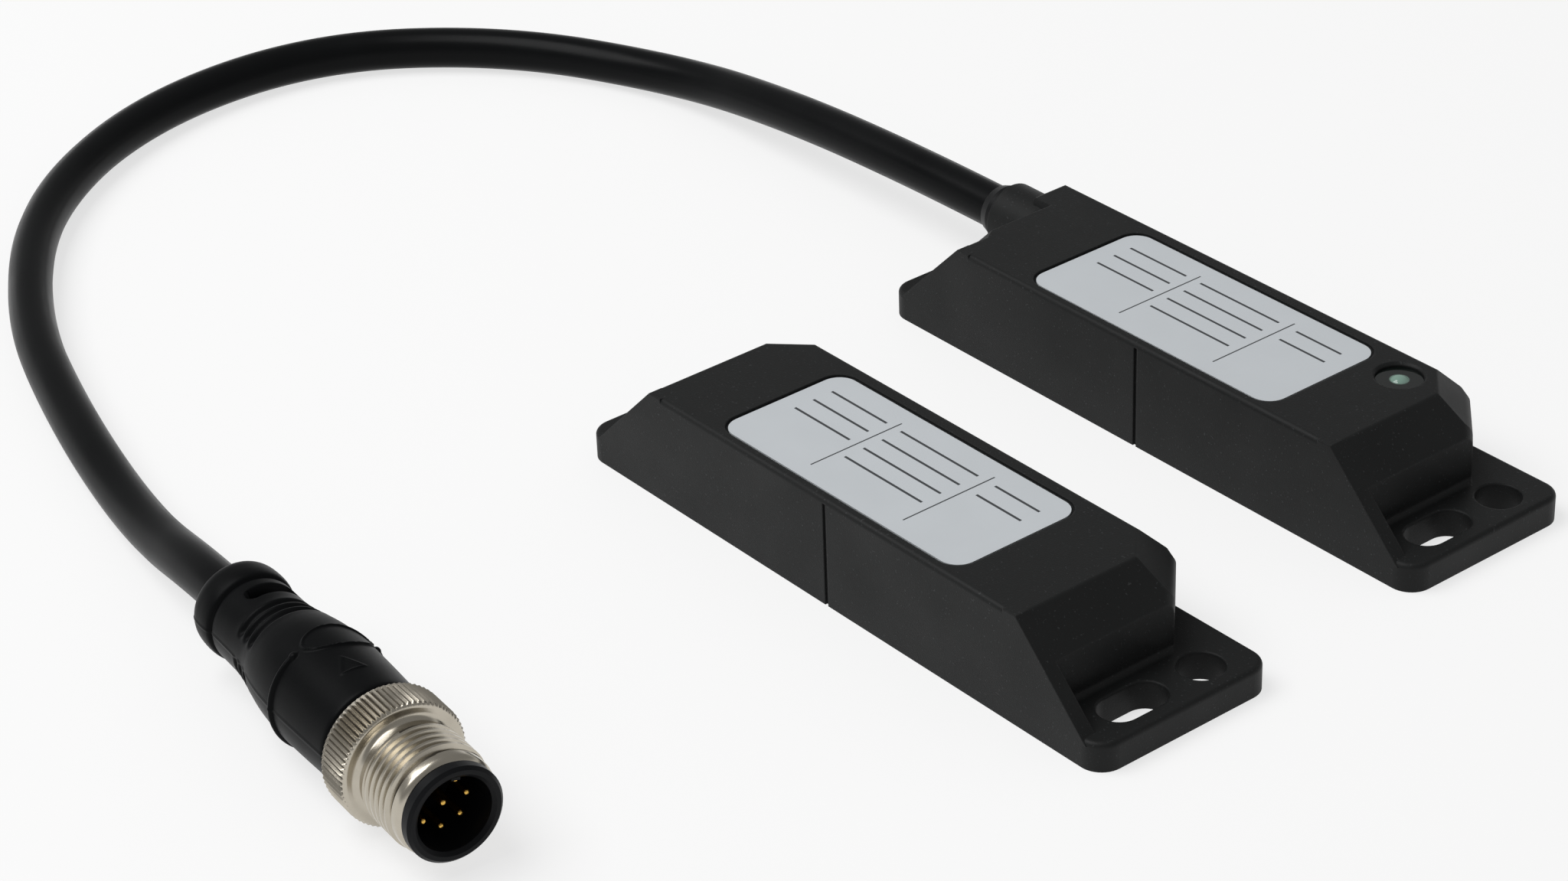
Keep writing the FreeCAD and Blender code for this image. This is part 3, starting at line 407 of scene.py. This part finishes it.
# Glass-filled polyamide, moulded in a spark-eroded tool: matt black, fine pale specks where glass comes up
HOUSING_PLASTIC = MouldedFinish("moulded_glass_filled_polyamide", "#161717", 0.52, Grain.SPARK_ERODED, 0.16,
                                0.02, shine=0.2, edge_mm=0.28)
# Epoxy poured into the open bottom: glossy black with slow waves
CAST_EPOXY = MouldedFinish("cast_black_epoxy", "#141516", 0.22, Grain.POLISHED, 3.0, 0.03)
# Polyurethane jacket, extruded: an even satin black
CABLE_JACKET = MouldedFinish("extruded_polyurethane_jacket", "#0c0d0e", 0.32, Grain.SATIN, 0.2, 0.006,
                             shine=0.08)
# Thermoplastic rubber round the cable's exit: softer and duller than the jacket
BOOT_RUBBER = MouldedFinish("moulded_rubber_boot", "#0f1011", 0.42, Grain.SATIN, 0.25, 0.008, shine=0.15)
# Overmoulded polyurethane of the plug: satin black with a leathery fine skin
PLUG_RUBBER = MouldedFinish("overmoulded_polyurethane", "#0a0b0c", 0.38, Grain.SATIN, 0.14, 0.012,
                            shine=0.055)
# Polyamide insulator of the contacts: plain moulded black
INSULATOR = MouldedFinish("moulded_polyamide_insulator", "#0f1012", 0.38, Grain.SATIN, 0.12, 0.006,
                          shine=0.12)
# Natural core mould inside the plug
CORE_MOULD = MouldedFinish("hot_melt_core_mould", "#b9b3a2", 0.45, Grain.SATIN, 0.5, 0.01)
# Glass-cloth laminate under green solder mask
BOARD = MouldedFinish("solder_masked_laminate", "#1d5a34", 0.35, Grain.SATIN, 0.4, 0.01)
# Ceramic chips under black glaze
CHIP = MouldedFinish("glazed_chip_ceramic", "#202022", 0.3, Grain.POLISHED, 0.5, 0.005)
# White moulded body of the status lamp
LAMP = MouldedFinish("white_lamp_body", "#e8e6df", 0.4, Grain.POLISHED, 0.4, 0.003)
# Insulated cores of the lead
CORE_WIRE = MouldedFinish("extruded_core_insulation", "#9a9c9e", 0.35, Grain.SATIN, 0.3, 0.004)
# Moulded tray of the magnets
TRAY = MouldedFinish("moulded_tray", "#2a2b2c", 0.5, Grain.SATIN, 0.3, 0.01)
# Nickel plate on turned brass: warm silver with fine turning marks round the axis
NICKEL = MetalFinish("nickel_plated_brass", "#c0b9ab", 0.22, 0.09, 0.0012, (0.35, 4.0, 4.0))
# The same plate low in the knurl and the thread: rougher where polish doesn't reach, and darker in colour as
# painted shade in the valleys
NICKEL_PAINTED_SHADE = MetalFinish("nickel_painted_groove_shade", "#5f5a52", 0.38, 0.09, 0.0012, (0.35, 4.0, 4.0))
# Gold plate on the contacts
GOLD = MetalFinish("gold_plated_contact", "#e3b65c", 0.2, 0.2, 0.001)
# Tinned copper leads
TINNED = MetalFinish("tinned_copper_wire", "#c3c4c6", 0.3, 0.2, 0.002)
# Nickel plate on the sintered magnets
MAGNET = MetalFinish("plated_magnet", "#bfc0c2", 0.25, 0.3, 0.002)
# Clear polycarbonate of the light pipe, with the green cast of its lamp, and a dark ring of painted shade
# round its pale eye
LENS = ClearFinish("clear_polycarbonate_lens", "#a3c8b8", 0.06, 1.58, 0.35, (25.35, 4.5))
# Soda glass of the reed contacts
GLASS = ClearFinish("reed_tube_glass", "#d5ead8", 0.03, 1.52, 0.95)

SENSOR_LABEL = PrintedFilm("sensor_label_film", "#d3d8dc", "#3a3d40", (0.0, -2.1))
ACTUATOR_LABEL = PrintedFilm("actuator_label_film", "#d3d8dc", "#3a3d40", (2.3, -50.6))

NODE_FINISHES: Dict[str, Finish] = {
    "switch_housing": HOUSING_PLASTIC, "actuator_housing": HOUSING_PLASTIC,
    "switch_resin": CAST_EPOXY, "actuator_resin": CAST_EPOXY,
    "switch_label": SENSOR_LABEL, "actuator_label": ACTUATOR_LABEL,
    "circuit_board": BOARD, "chip_resistors": CHIP, "status_lamp": LAMP, "status_lens": LENS,
    "core_wires": CORE_WIRE, "cable_boot": BOOT_RUBBER, "cable": CABLE_JACKET, "plug_body": PLUG_RUBBER,
    "plug_inner_mould": CORE_MOULD, "contact_carrier": INSULATOR, "contact_pins": GOLD,
    "coupling_nut": NICKEL,
    "reed_glass_1": GLASS, "reed_glass_2": GLASS, "reed_glass_3": GLASS,
    "reed_leads_1": TINNED, "reed_leads_2": TINNED, "reed_leads_3": TINNED,
    "magnet_tray": TRAY, "magnet_1": MAGNET, "magnet_2": MAGNET, "magnet_3": MAGNET,
}

BUILT: Dict[str, bpy.types.Material] = {}


def material_of(finish: Finish) -> bpy.types.Material:
    """Builds a finish once and hands out the same material after that."""
    if finish.name not in BUILT:
        BUILT[finish.name] = finish.build()
    return BUILT[finish.name]


def dress(piece: bpy.types.Object, finish: Finish) -> None:
    """Gives a piece one finish all over."""
    piece.data.materials.clear()
    piece.data.materials.append(material_of(finish))


def plug_place(along: float, side: float = 0.0, up: float = 0.0) -> Vector:
    """Turns a place given along the plug's own axis into one in the shared frame.

    Args:
        along: millimetres from the plug's rear end.
        side: millimetres to the left of the axis.
        up: millimetres above the axis.

    Returns:
        The place, in metres.
    """
    back = along - PLUG_LENGTH
    x = PLUG_FACE_X + back * math.cos(PLUG_TURN) - side * math.sin(PLUG_TURN)
    y = PLUG_FACE_Y + back * math.sin(PLUG_TURN) + side * math.cos(PLUG_TURN)
    return Vector((x, y, PLUG_AXIS_Z + up)) * MM


def smooth(share: float) -> float:
    """Eases a share from zero to one, with level ends."""
    share = min(1.0, max(0.0, share))
    return share * share * (3.0 - 2.0 * share)


def ridge(distance: float, half_width: float) -> float:
    """Height of a soft ridge of unit height at a distance from its middle."""
    return 0.5 + 0.5 * math.cos(math.pi * min(1.0, abs(distance) / half_width))


def trace(name: str, outline: Profile) -> bpy.types.Object:
    """Draws half an outline in edit mode by extruding one vertex from point to point.

    Args:
        name: the new piece's name.
        outline: distance along the axis and radius of each point, in millimetres.

    Returns:
        The piece, still in edit mode with all of it selected.
    """
    bpy.ops.object.select_all(action="DESELECT")
    bpy.ops.mesh.primitive_plane_add(size=MM)
    piece = bpy.context.object
    piece.name = piece.data.name = name
    bpy.ops.object.mode_set(mode="EDIT")
    bpy.ops.mesh.merge(type="CENTER")
    bpy.ops.transform.translate(value=(outline[0][0] * MM, 0.0, outline[0][1] * MM))
    for (along, radius), (next_along, next_radius) in zip(outline, outline[1:]):
        move = ((next_along - along) * MM, 0.0, (next_radius - radius) * MM)
        bpy.ops.mesh.extrude_vertices_move(TRANSFORM_OT_translate={"value": move})
    bpy.ops.mesh.select_all(action="SELECT")
    bpy.ops.mesh.remove_doubles(threshold=0.001 * MM)
    return piece


def turned(name: str, outline: Profile, steps: int) -> bpy.types.Object:
    """Turns a closed outline about the X axis into a solid.

    Args:
        name: the new piece's name.
        outline: a closed outline, its last point on its first.
        steps: facets round the axis.

    Returns:
        The piece, in object mode.
    """
    piece = trace(name, outline)
    bpy.ops.mesh.spin(steps=steps, angle=2 * math.pi, center=(0.0, 0.0, 0.0), axis=(1.0, 0.0, 0.0))
    bpy.ops.mesh.select_all(action="SELECT")
    bpy.ops.mesh.remove_doubles(threshold=0.001 * MM)
    bpy.ops.mesh.normals_make_consistent(inside=False)
    bpy.ops.object.mode_set(mode="OBJECT")
    return piece


def seat_on_plug(piece: bpy.types.Object, smooth_degrees: float = 35.0) -> None:
    """Moves a piece modelled along X on to the plug's axis, with its place in its mesh."""
    bpy.ops.object.select_all(action="DESELECT")
    piece.select_set(True)
    bpy.context.view_layer.objects.active = piece
    piece.rotation_euler = (0.0, 0.0, PLUG_TURN)
    piece.location = plug_place(0.0)
    bpy.ops.object.transform_apply(location=True, rotation=True, scale=True)
    bpy.ops.object.shade_smooth_by_angle(angle=math.radians(smooth_degrees))


@dataclass
class PlugShell:
    """Soft overmould of the plug: collar, flexing grip and swelling body with its moulded marks."""

    outline: Profile = field(default_factory=lambda: [
        (0.7, 2.8), (0.7, 4.1), (0.8, 4.55), (1.05, 4.95), (1.5, 5.22), (2.1, 5.37), (2.8, 5.43), (3.6, 5.45),
        (4.3, 5.4), (4.7, 5.3), (4.92, 5.12), (5.0, 4.92), (5.1, 4.84), (5.25, 4.92), (5.45, 5.05),
        (6.0, 5.1), (8.0, 5.12), (10.3, 5.16), (12.3, 5.3), (13.6, 5.55), (14.6, 5.8), (15.6, 6.02),
        (16.6, 6.2), (17.8, 6.37), (19.2, 6.5), (20.6, 6.58), (22.0, 6.61), (24.5, 6.59), (27.5, 6.51),
        (30.5, 6.4), (32.3, 6.33), (32.7, 6.22), (32.85, 6.08), (32.9, 5.9)])
    inside: Profile = field(default_factory=lambda: [
        (34.8, 5.9), (34.8, 4.75), (28.0, 4.75), (28.0, 4.3), (10.0, 4.3), (10.0, 2.8), (0.7, 2.8)])
    steps: int = 240
    ring_gap: float = 0.16
    bead_rings_half: float = 2.4
    inner_radius: float = 4.8
    skin_end: float = 32.88
    roll: float = math.radians(18.0)
    window_at: float = 7.75
    window_half: Tuple[float, float] = (0.9, 3.3)
    window_depth: float = 1.5
    window_edge: Tuple[float, float] = (0.1, 0.32)
    rib_grooves: Sequence[float] = (11.2, 12.65, 14.1)
    rib_half_width: float = 0.66
    rib_depth: float = 0.5
    rib_reach: float = math.radians(80.0)
    rib_fade: float = math.radians(14.0)
    rib_rise: float = 0.22
    rib_rise_reach: Tuple[float, float] = (1.4, 2.2)
    bead_at: float = 22.0
    bead_radius: float = 0.35
    bead_gap: float = math.radians(49.0)
    bead_end_radius: float = 0.52
    bead_end_height: float = 0.85
    oval_half: Tuple[float, float] = (2.15, 4.3)
    oval_height: float = 0.24
    oval_rim_half: float = 0.26
    oval_field: float = 0.25
    arrow_from: float = 26.3
    arrow_to: float = 28.8
    arrow_half: float = 1.35
    arrow_height: float = 0.12
    arrow_line_half: float = 0.2
    seam_turn: float = math.radians(-86.0)
    seam_height: float = 0.08
    seam_half_width: float = 0.22
    seam_start: float = 1.5

    def build(self) -> bpy.types.Object:
        """Turns the shell, presses its marks into the skin and seats it."""
        skin = self._rings()
        shell = turned("plug_overmould", skin + self.inside, self.steps)
        for vertex in shell.data.vertices:
            along = vertex.co.x / MM
            radius = math.hypot(vertex.co.y, vertex.co.z) / MM
            if radius < self.inner_radius or along > self.skin_end:
                continue
            turn = math.atan2(vertex.co.y, vertex.co.z)
            grown = 1.0 + self._relief(along, turn, radius) / radius
            vertex.co.y *= grown
            vertex.co.z *= grown
        seat_on_plug(shell, 50.0)
        dress(shell, PLUG_RUBBER)
        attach(shell, "sensor")
        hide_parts("plug_body")
        return shell

    def _rings(self) -> Profile:
        """Closer points on the outline's smooth line, closest at the bead."""
        points = self.outline
        rings = [points[0]]
        for index in range(len(points) - 1):
            before = points[max(0, index - 1)]
            start, end = points[index], points[index + 1]
            after = points[min(len(points) - 1, index + 2)]
            near_bead = abs((start[0] + end[0]) / 2 - self.bead_at) < self.bead_rings_half
            gap = self.ring_gap * (0.5 if near_bead else 1.0)
            count = max(1, round(math.dist(start, end) / gap))
            bends = 1 < index < len(points) - 3
            for step in range(1, count + 1):
                t = step / count
                place = []
                for a, b, c, d in zip(before, start, end, after):
                    straight = b + (c - b) * t
                    curved = 0.5 * (2 * b + (c - a) * t + (2 * a - 5 * b + 4 * c - d) * t ** 2
                                    + (3 * b - a - 3 * c + d) * t ** 3)
                    place.append(curved if bends else straight)
                rings.append((place[0], place[1]))
        return rings

    def _relief(self, along: float, turn: float, radius: float) -> float:
        """How far the skin stands out from the plain turned form.

        Args:
            along: millimetres from the rear end.
            turn: angle from the top towards the sensor.
            radius: plain radius there.

        Returns:
            Height in millimetres, less than zero in a hollow.
        """
        height = 0.0
        for face in (0.0, math.pi):
            off = math.remainder(turn - self.roll - face, 2 * math.pi)
            height -= self._window(along, radius * off)
            height -= self._ribs(along, off)
        off = math.remainder(turn - self.roll, 2 * math.pi)
        height += self._bead(along, off, radius)
        height += self._oval(along, radius * off)
        height += self._arrow(along, radius * turn)
        for seam in (self.seam_turn, self.seam_turn + math.pi):
            away = radius * math.remainder(turn - seam, 2 * math.pi)
            height += self.seam_height * ridge(away, self.seam_half_width) * smooth(along / self.seam_start)
        return height

    def _window(self, along: float, aside: float) -> float:
        """Depth of the long opening behind the ribs."""
        half_along, half_aside = self.window_half
        past = max(0.0, abs(aside) - (half_aside - half_along))
        outside = math.hypot(past, along - self.window_at) - half_along
        return self.window_depth * smooth((self.window_edge[0] - outside) / self.window_edge[1])

    def _ribs(self, along: float, off: float) -> float:
        """Depth of the cross grooves, which run out towards the sides."""
        fade = smooth((self.rib_reach - abs(off)) / self.rib_fade)
        grooves = sum(ridge(along - place, self.rib_half_width) for place in self.rib_grooves)
        flat, reach = self.rib_rise_reach
        rise = self.rib_rise * smooth(flat - abs(along - self.rib_grooves[1]) / reach)
        return fade * self.rib_depth * (grooves - rise)

    def _bead(self, along: float, off: float, radius: float) -> float:
        """Height of the ring round the body and of the round ends beside its gap."""
        away = along - self.bead_at
        height = 0.0
        if abs(off) > self.bead_gap:
            height = math.sqrt(max(0.0, self.bead_radius ** 2 - away ** 2))
        ball = math.hypot(away, radius * (abs(off) - self.bead_gap))
        return max(height, self.bead_end_height * math.sqrt(max(0.0, self.bead_end_radius ** 2 - ball ** 2)))

    def _oval(self, along: float, aside: float) -> float:
        """Height of the plain oval: a raised rim round a slightly raised field."""
        u, w = (along - self.bead_at) / self.oval_half[0], aside / self.oval_half[1]
        size = max(0.05, math.hypot(u, w))
        slope = math.hypot(u / self.oval_half[0], w / self.oval_half[1]) / size
        outside = (size - 1.0) / slope
        within = self.oval_field * smooth(0.5 - outside / self.oval_rim_half)
        return self.oval_height * max(ridge(outside, self.oval_rim_half), within)

    def _arrow(self, along: float, aside: float) -> float:
        """Height of the thin outline of the arrowhead."""
        margin = 2 * self.arrow_line_half
        if not self.arrow_from - margin < along < self.arrow_to + margin:
            return 0.0
        length = self.arrow_to - self.arrow_from
        edge = abs(aside) - self.arrow_half * (along - self.arrow_from) / length
        slant = edge / math.hypot(1.0, self.arrow_half / length)
        outside = max(slant, along - self.arrow_to)
        return self.arrow_height * ridge(outside, self.arrow_line_half)


@dataclass
class CouplingNut:
    """Knurled nut with its flange, neck, screw thread and plain lead, on the plug's axis."""

    outline: Profile = field(default_factory=lambda: [
        (33.9, 6.25), (33.9, 6.8), (34.02, 6.97), (34.15, 7.12), (34.3, 7.25), (34.42, 7.3), (36.2, 7.3),
        (38.2, 7.3), (38.34, 7.24), (38.48, 7.1), (38.6, 6.96), (38.68, 6.8), (38.7, 6.6), (38.7, 6.2),
        (38.74, 5.95), (38.86, 5.72), (39.06, 5.55), (39.3, 5.45), (40.0, 5.45), (45.9, 5.45), (46.1, 5.62),
        (46.25, 5.76), (46.9, 5.76), (47.2, 5.7), (47.45, 5.52), (47.6, 5.3), (47.6, 5.0), (35.15, 5.0),
        (35.15, 6.25), (33.9, 6.25)])
    teeth: int = 74
    steps_per_tooth: int = 6
    tooth_depth: float = 0.31
    valley_width: float = 1.15
    radius: float = 7.3
    knurl_span: Tuple[float, float] = (34.4, 38.3)
    knurl_floor: float = 6.5
    groove_share: float = 0.6
    pitch: float = 1.0
    turns: int = 6
    thread_from: float = 40.1
    crest: float = 6.0
    root: float = 5.35
    flank: float = 0.45
    land: float = 0.15
    thread_floor: Tuple[float, float] = (5.4, 5.5)
    thread_steps: int = 96
    run_out: Tuple[float, float] = (0.15, 0.7)

    def build(self) -> bpy.types.Object:
        """Turns the nut, cuts its knurl, winds its thread and seats it."""
        nut = turned("coupling_nut_turned", self.outline, self.teeth * self.steps_per_tooth)
        for vertex in nut.data.vertices:
            radius = math.hypot(vertex.co.y, vertex.co.z) / MM
            share = math.atan2(vertex.co.y, vertex.co.z) / (2 * math.pi) * self.teeth
            valley = 1.0 - abs(1.0 - 2.0 * (share % 1.0))
            limit = self.radius - self.tooth_depth * min(1.0, self.valley_width * valley)
            if radius > limit:
                vertex.co.y *= limit / radius
                vertex.co.z *= limit / radius
        thread = self._thread()
        bpy.ops.object.select_all(action="DESELECT")
        thread.select_set(True)
        nut.select_set(True)
        bpy.context.view_layer.objects.active = nut
        bpy.ops.object.join()
        self._dress(nut)
        seat_on_plug(nut, 28.0)
        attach(nut, "nut")
        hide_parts("coupling_nut")
        return nut

    def _dress(self, nut: bpy.types.Object) -> None:
        """Gives the bottoms of the knurl and of the thread a rougher plate, painted darker as shade."""
        dress(nut, NICKEL)
        # second material: the nickel with painted shade, for the knurl valleys and the thread roots
        nut.data.materials.append(material_of(NICKEL_PAINTED_SHADE))
        for face in nut.data.polygons:
            along = face.center.x / MM
            radius = math.hypot(face.center.y, face.center.z) / MM
            valley = self.radius - self.groove_share * self.tooth_depth
            in_knurl = self.knurl_span[0] < along < self.knurl_span[1] and self.knurl_floor < radius < valley
            in_thread = (self.thread_from < along < self.thread_from + self.turns
                         and self.thread_floor[0] < radius < self.thread_floor[1])
            if in_knurl or in_thread:
                face.material_index = 1

    def _thread(self) -> bpy.types.Object:
        """Winds one ridge into a helix that runs out at both ends."""
        start = self.thread_from
        thread = trace("thread_ridge", [
            (start - self.flank, self.root), (start - self.land, self.crest), (start + self.land, self.crest),
            (start + self.flank, self.root), (start - self.flank, self.root)])
        bpy.ops.object.mode_set(mode="OBJECT")
        screw = thread.modifiers.new("helix", "SCREW")
        screw.axis = "X"
        screw.angle = 2 * math.pi
        screw.screw_offset = self.pitch * MM
        screw.iterations = self.turns
        screw.steps = screw.render_steps = self.thread_steps
        bpy.ops.object.modifier_apply(modifier=screw.name)
        bpy.ops.object.mode_set(mode="EDIT")
        bpy.ops.mesh.select_all(action="SELECT")
        bpy.ops.mesh.fill_holes(sides=4)
        bpy.ops.mesh.normals_make_consistent(inside=False)
        bpy.ops.object.mode_set(mode="OBJECT")
        last = self.turns * self.pitch
        for vertex in thread.data.vertices:
            wound = min(last, max(0.0, vertex.co.x / MM - start))
            stub, reach = self.run_out
            share = smooth((wound + stub) / reach) * smooth((last - wound + stub) / reach)
            radius = math.hypot(vertex.co.y, vertex.co.z) / MM
            grown = (self.root + (radius - self.root) * share) / radius
            vertex.co.y *= grown
            vertex.co.z *= grown
        return thread


@dataclass
class Lead:
    """The cable between the sensor and the plug, on the route that the CAD source gives it."""

    diameter_mm: float = 5.6
    free_length_mm: float = 286.9
    end_mm: float = 2.0
    last_free_mm: float = -5.0
    round_steps: int = 7
    length_steps: int = 14
    exit_mm: Point = (-43.2, 5.0, 8.5)
    route_mm: Sequence[Point] = (
        (-43.2, 5.0, 8.5),
        (-58.0, 5.0, 8.5),
        (-84.5, 5.5, 6.9),
        (-110.5, 6.5, 2.85),
        (-135.0, -5.5, 2.85),
        (-151.5, -26.5, 2.85),
        (-151.5, -54.0, 2.85),
        (-137.0, -79.0, 2.85),
        (-111.5, -96.0, 2.85),
        (-84.5, -105.0, 2.85),
        (-58.5, -111.0, 2.85),
    )

    def build(self, shell: bpy.types.Object, nut: bpy.types.Object) -> bpy.types.Object:
        """Lays the lead as one smooth spline.

        Args:
            shell: the plug's overmould; not used.
            nut: the plug's coupling nut; not used.

        Returns:
            The lead.
        """
        points = [Vector(p) * MM for p in self.route_mm] + [plug_place(self.last_free_mm),
                                                            plug_place(self.end_mm)]
        curve = bpy.data.curves.new("lead", "CURVE")
        curve.dimensions = "3D"
        curve.bevel_depth = self.diameter_mm / 2 * MM
        curve.bevel_resolution = self.round_steps
        curve.resolution_u = self.length_steps
        spline = curve.splines.new("NURBS")
        spline.points.add(len(points) - 1)
        for point, place in zip(spline.points, points):
            point.co = (*place, 1.0)
        spline.order_u = 3
        spline.use_endpoint_u = True
        lead = bpy.data.objects.new("lead", curve)
        bpy.context.scene.collection.objects.link(lead)
        dress(lead, CABLE_JACKET)
        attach(lead, "sensor")
        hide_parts("cable")
        return lead


@dataclass(frozen=True)
class StudioCamera:
    """The camera that gives the picture its viewing angle."""

    place_mm: Point = (296.888, -296.329, 245.038)
    azimuth: float = 51.993
    elevation: float = 30.684
    roll: float = -2.164
    lens_mm: float = 93.68
    sensor_mm: float = 36.0

    def build(self) -> bpy.types.Object:
        """Adds the camera and makes it the scene's own."""
        turn, rise, lean = (math.radians(a) for a in (self.azimuth, self.elevation, self.roll))
        back = Vector((math.sin(turn) * math.cos(rise), -math.cos(turn) * math.cos(rise), math.sin(rise)))
        level = Vector((math.cos(turn), math.sin(turn), 0.0))
        up = back.cross(level)
        right = level * math.cos(lean) + up * math.sin(lean)
        top = up * math.cos(lean) - level * math.sin(lean)
        lens = bpy.data.cameras.new("camera")
        lens.lens = self.lens_mm
        lens.sensor_width = self.sensor_mm
        lens.clip_start = 0.01
        lens.clip_end = 50.0
        camera = bpy.data.objects.new("camera", lens)
        matrix = Matrix((right, top, back)).transposed().to_4x4()
        matrix.translation = Vector(self.place_mm) * MM
        camera.matrix_world = matrix
        bpy.context.scene.collection.objects.link(camera)
        bpy.context.scene.camera = camera
        return camera


@dataclass(frozen=True)
class SoftLamp:
    """A large soft light that faces the object."""

    name: str
    place: Point
    size: float
    watts: float
    aim: Point = (-0.03, -0.05, 0.0)

    def build(self) -> bpy.types.Object:
        """Adds the light and turns it to its aim."""
        data = bpy.data.lights.new(self.name, "AREA")
        data.shape = "SQUARE"
        data.size = self.size
        data.energy = self.watts
        lamp = bpy.data.objects.new(self.name, data)
        lamp.location = self.place
        lamp.rotation_euler = (Vector(self.place) - Vector(self.aim)).to_track_quat("Z", "Y").to_euler()
        bpy.context.scene.collection.objects.link(lamp)
        return lamp


@dataclass
class Studio:
    """Pale floor, white surroundings and soft light."""

    lamps: Sequence[SoftLamp] = (
        SoftLamp("key_light", (-0.35, -0.5, 0.95), 0.8, 8.5),
    )
    camera: StudioCamera = field(default_factory=StudioCamera)
    daylight: float = 0.3
    ceiling: float = 0.2
    ceiling_rise: Tuple[float, float] = (0.02, 0.3)
    floor_size: float = 12.0
    floor_paint: str = "#d2d2d2"
    floor_seen: str = "#ffffff"
    floor_glow: float = 0.7

    def build(self) -> None:
        """Sets up the floor, the world, the lights and the camera."""
        self._floor()
        self._world()
        for lamp in self.lamps:
            lamp.build()
        self.camera.build()
        bpy.context.scene.view_settings.view_transform = "Standard"

    def _seen(self, tree: bpy.types.NodeTree) -> bpy.types.NodeSocket:
        """One for camera, mirror and see-through rays, zero for those that light things."""
        path = add_node(tree, "ShaderNodeLightPath")
        total = add_node(tree, "ShaderNodeMath", {0: path.outputs["Is Camera Ray"],
                                                  1: path.outputs["Is Glossy Ray"]}, operation="ADD")
        total = add_node(tree, "ShaderNodeMath",
                         {0: total.outputs[0], 1: path.outputs["Is Transmission Ray"]},
                         operation="ADD", use_clamp=True)
        return total.outputs[0]

    def _floor(self) -> None:
        """Adds the floor: matt and pale, and nearly white where it is seen."""
        bpy.ops.mesh.primitive_plane_add(size=self.floor_size, location=(0.0, 0.0, 0.0))
        floor = bpy.context.object
        floor.name = "floor"
        material = bpy.data.materials.new("studio_floor")
        material.use_nodes = True
        tree = material.node_tree
        tree.nodes.clear()
        seen = self._seen(tree)
        pale = add_node(tree, "ShaderNodeMix",
                        {"Factor": seen, "A": linear(self.floor_paint), "B": linear(self.floor_seen)},
                        data_type="RGBA")
        paint = add_node(tree, "ShaderNodeBsdfDiffuse", {"Color": pale.outputs["Result"]})
        glow = add_node(tree, "ShaderNodeEmission", {"Color": (1.0, 1.0, 1.0, 1.0), "Strength": 1.0})
        share = add_node(tree, "ShaderNodeMath", {0: seen, 1: self.floor_glow}, operation="MULTIPLY")
        mixed = add_node(tree, "ShaderNodeMixShader",
                         {0: share.outputs[0], 1: paint.outputs[0], 2: glow.outputs[0]})
        add_node(tree, "ShaderNodeOutputMaterial", {"Surface": mixed.outputs[0]})
        floor.data.materials.append(material)

    def _world(self) -> None:
        """Sets the surroundings: white round the floor, a darker ceiling in mirrors, plain grey light."""
        world = bpy.data.worlds.new("studio")
        world.use_nodes = True
        tree = world.node_tree
        tree.nodes.clear()
        path = add_node(tree, "ShaderNodeLightPath")
        place = add_node(tree, "ShaderNodeTexCoord")
        axes = add_node(tree, "ShaderNodeSeparateXYZ", {"Vector": place.outputs["Generated"]})
        ceiling = add_node(tree, "ShaderNodeMapRange",
                           {"Value": axes.outputs["Z"], "From Min": self.ceiling_rise[0],
                            "From Max": self.ceiling_rise[1],
                            "To Min": 1.0, "To Max": self.ceiling}, interpolation_type="SMOOTHSTEP")
        mirrored = add_node(tree, "ShaderNodeMath", {0: path.outputs["Is Glossy Ray"], 1: ceiling.outputs[0]},
                            operation="MULTIPLY")
        seen = add_node(tree, "ShaderNodeMath", {0: path.outputs["Is Camera Ray"],
                                                 1: path.outputs["Is Transmission Ray"]}, operation="MAXIMUM")
        bright = add_node(tree, "ShaderNodeMath", {0: seen.outputs[0], 1: mirrored.outputs[0]},
                          operation="MAXIMUM")
        level = add_node(tree, "ShaderNodeMath", {0: bright.outputs[0], 1: self.daylight},
                         operation="MAXIMUM")
        light = add_node(tree, "ShaderNodeBackground",
                         {"Color": (1.0, 1.0, 1.0, 1.0), "Strength": level.outputs[0]})
        add_node(tree, "ShaderNodeOutputWorld", {"Surface": light.outputs[0]})
        bpy.context.scene.world = world


def dress_nodes() -> None:
    """Gives every CAD node its own finish."""
    for name, finish in NODE_FINISHES.items():
        dress(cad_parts[name], finish)
        LOG.info("finish %s on %s", finish.name, name)


def main() -> None:
    """Builds the scene in order."""
    logging.basicConfig(level=logging.INFO, format="%(message)s")
    bpy.ops.object.select_all(action="DESELECT")
    dress_nodes()
    shell = PlugShell().build()
    LOG.info("plug overmould: %d faces", len(shell.data.polygons))
    nut = CouplingNut().build()
    LOG.info("coupling nut: %d faces", len(nut.data.polygons))
    Lead().build(shell, nut)
    LOG.info("lead laid")
    Studio().build()
    LOG.info("studio set")


if __name__ == "__main__":
    main()
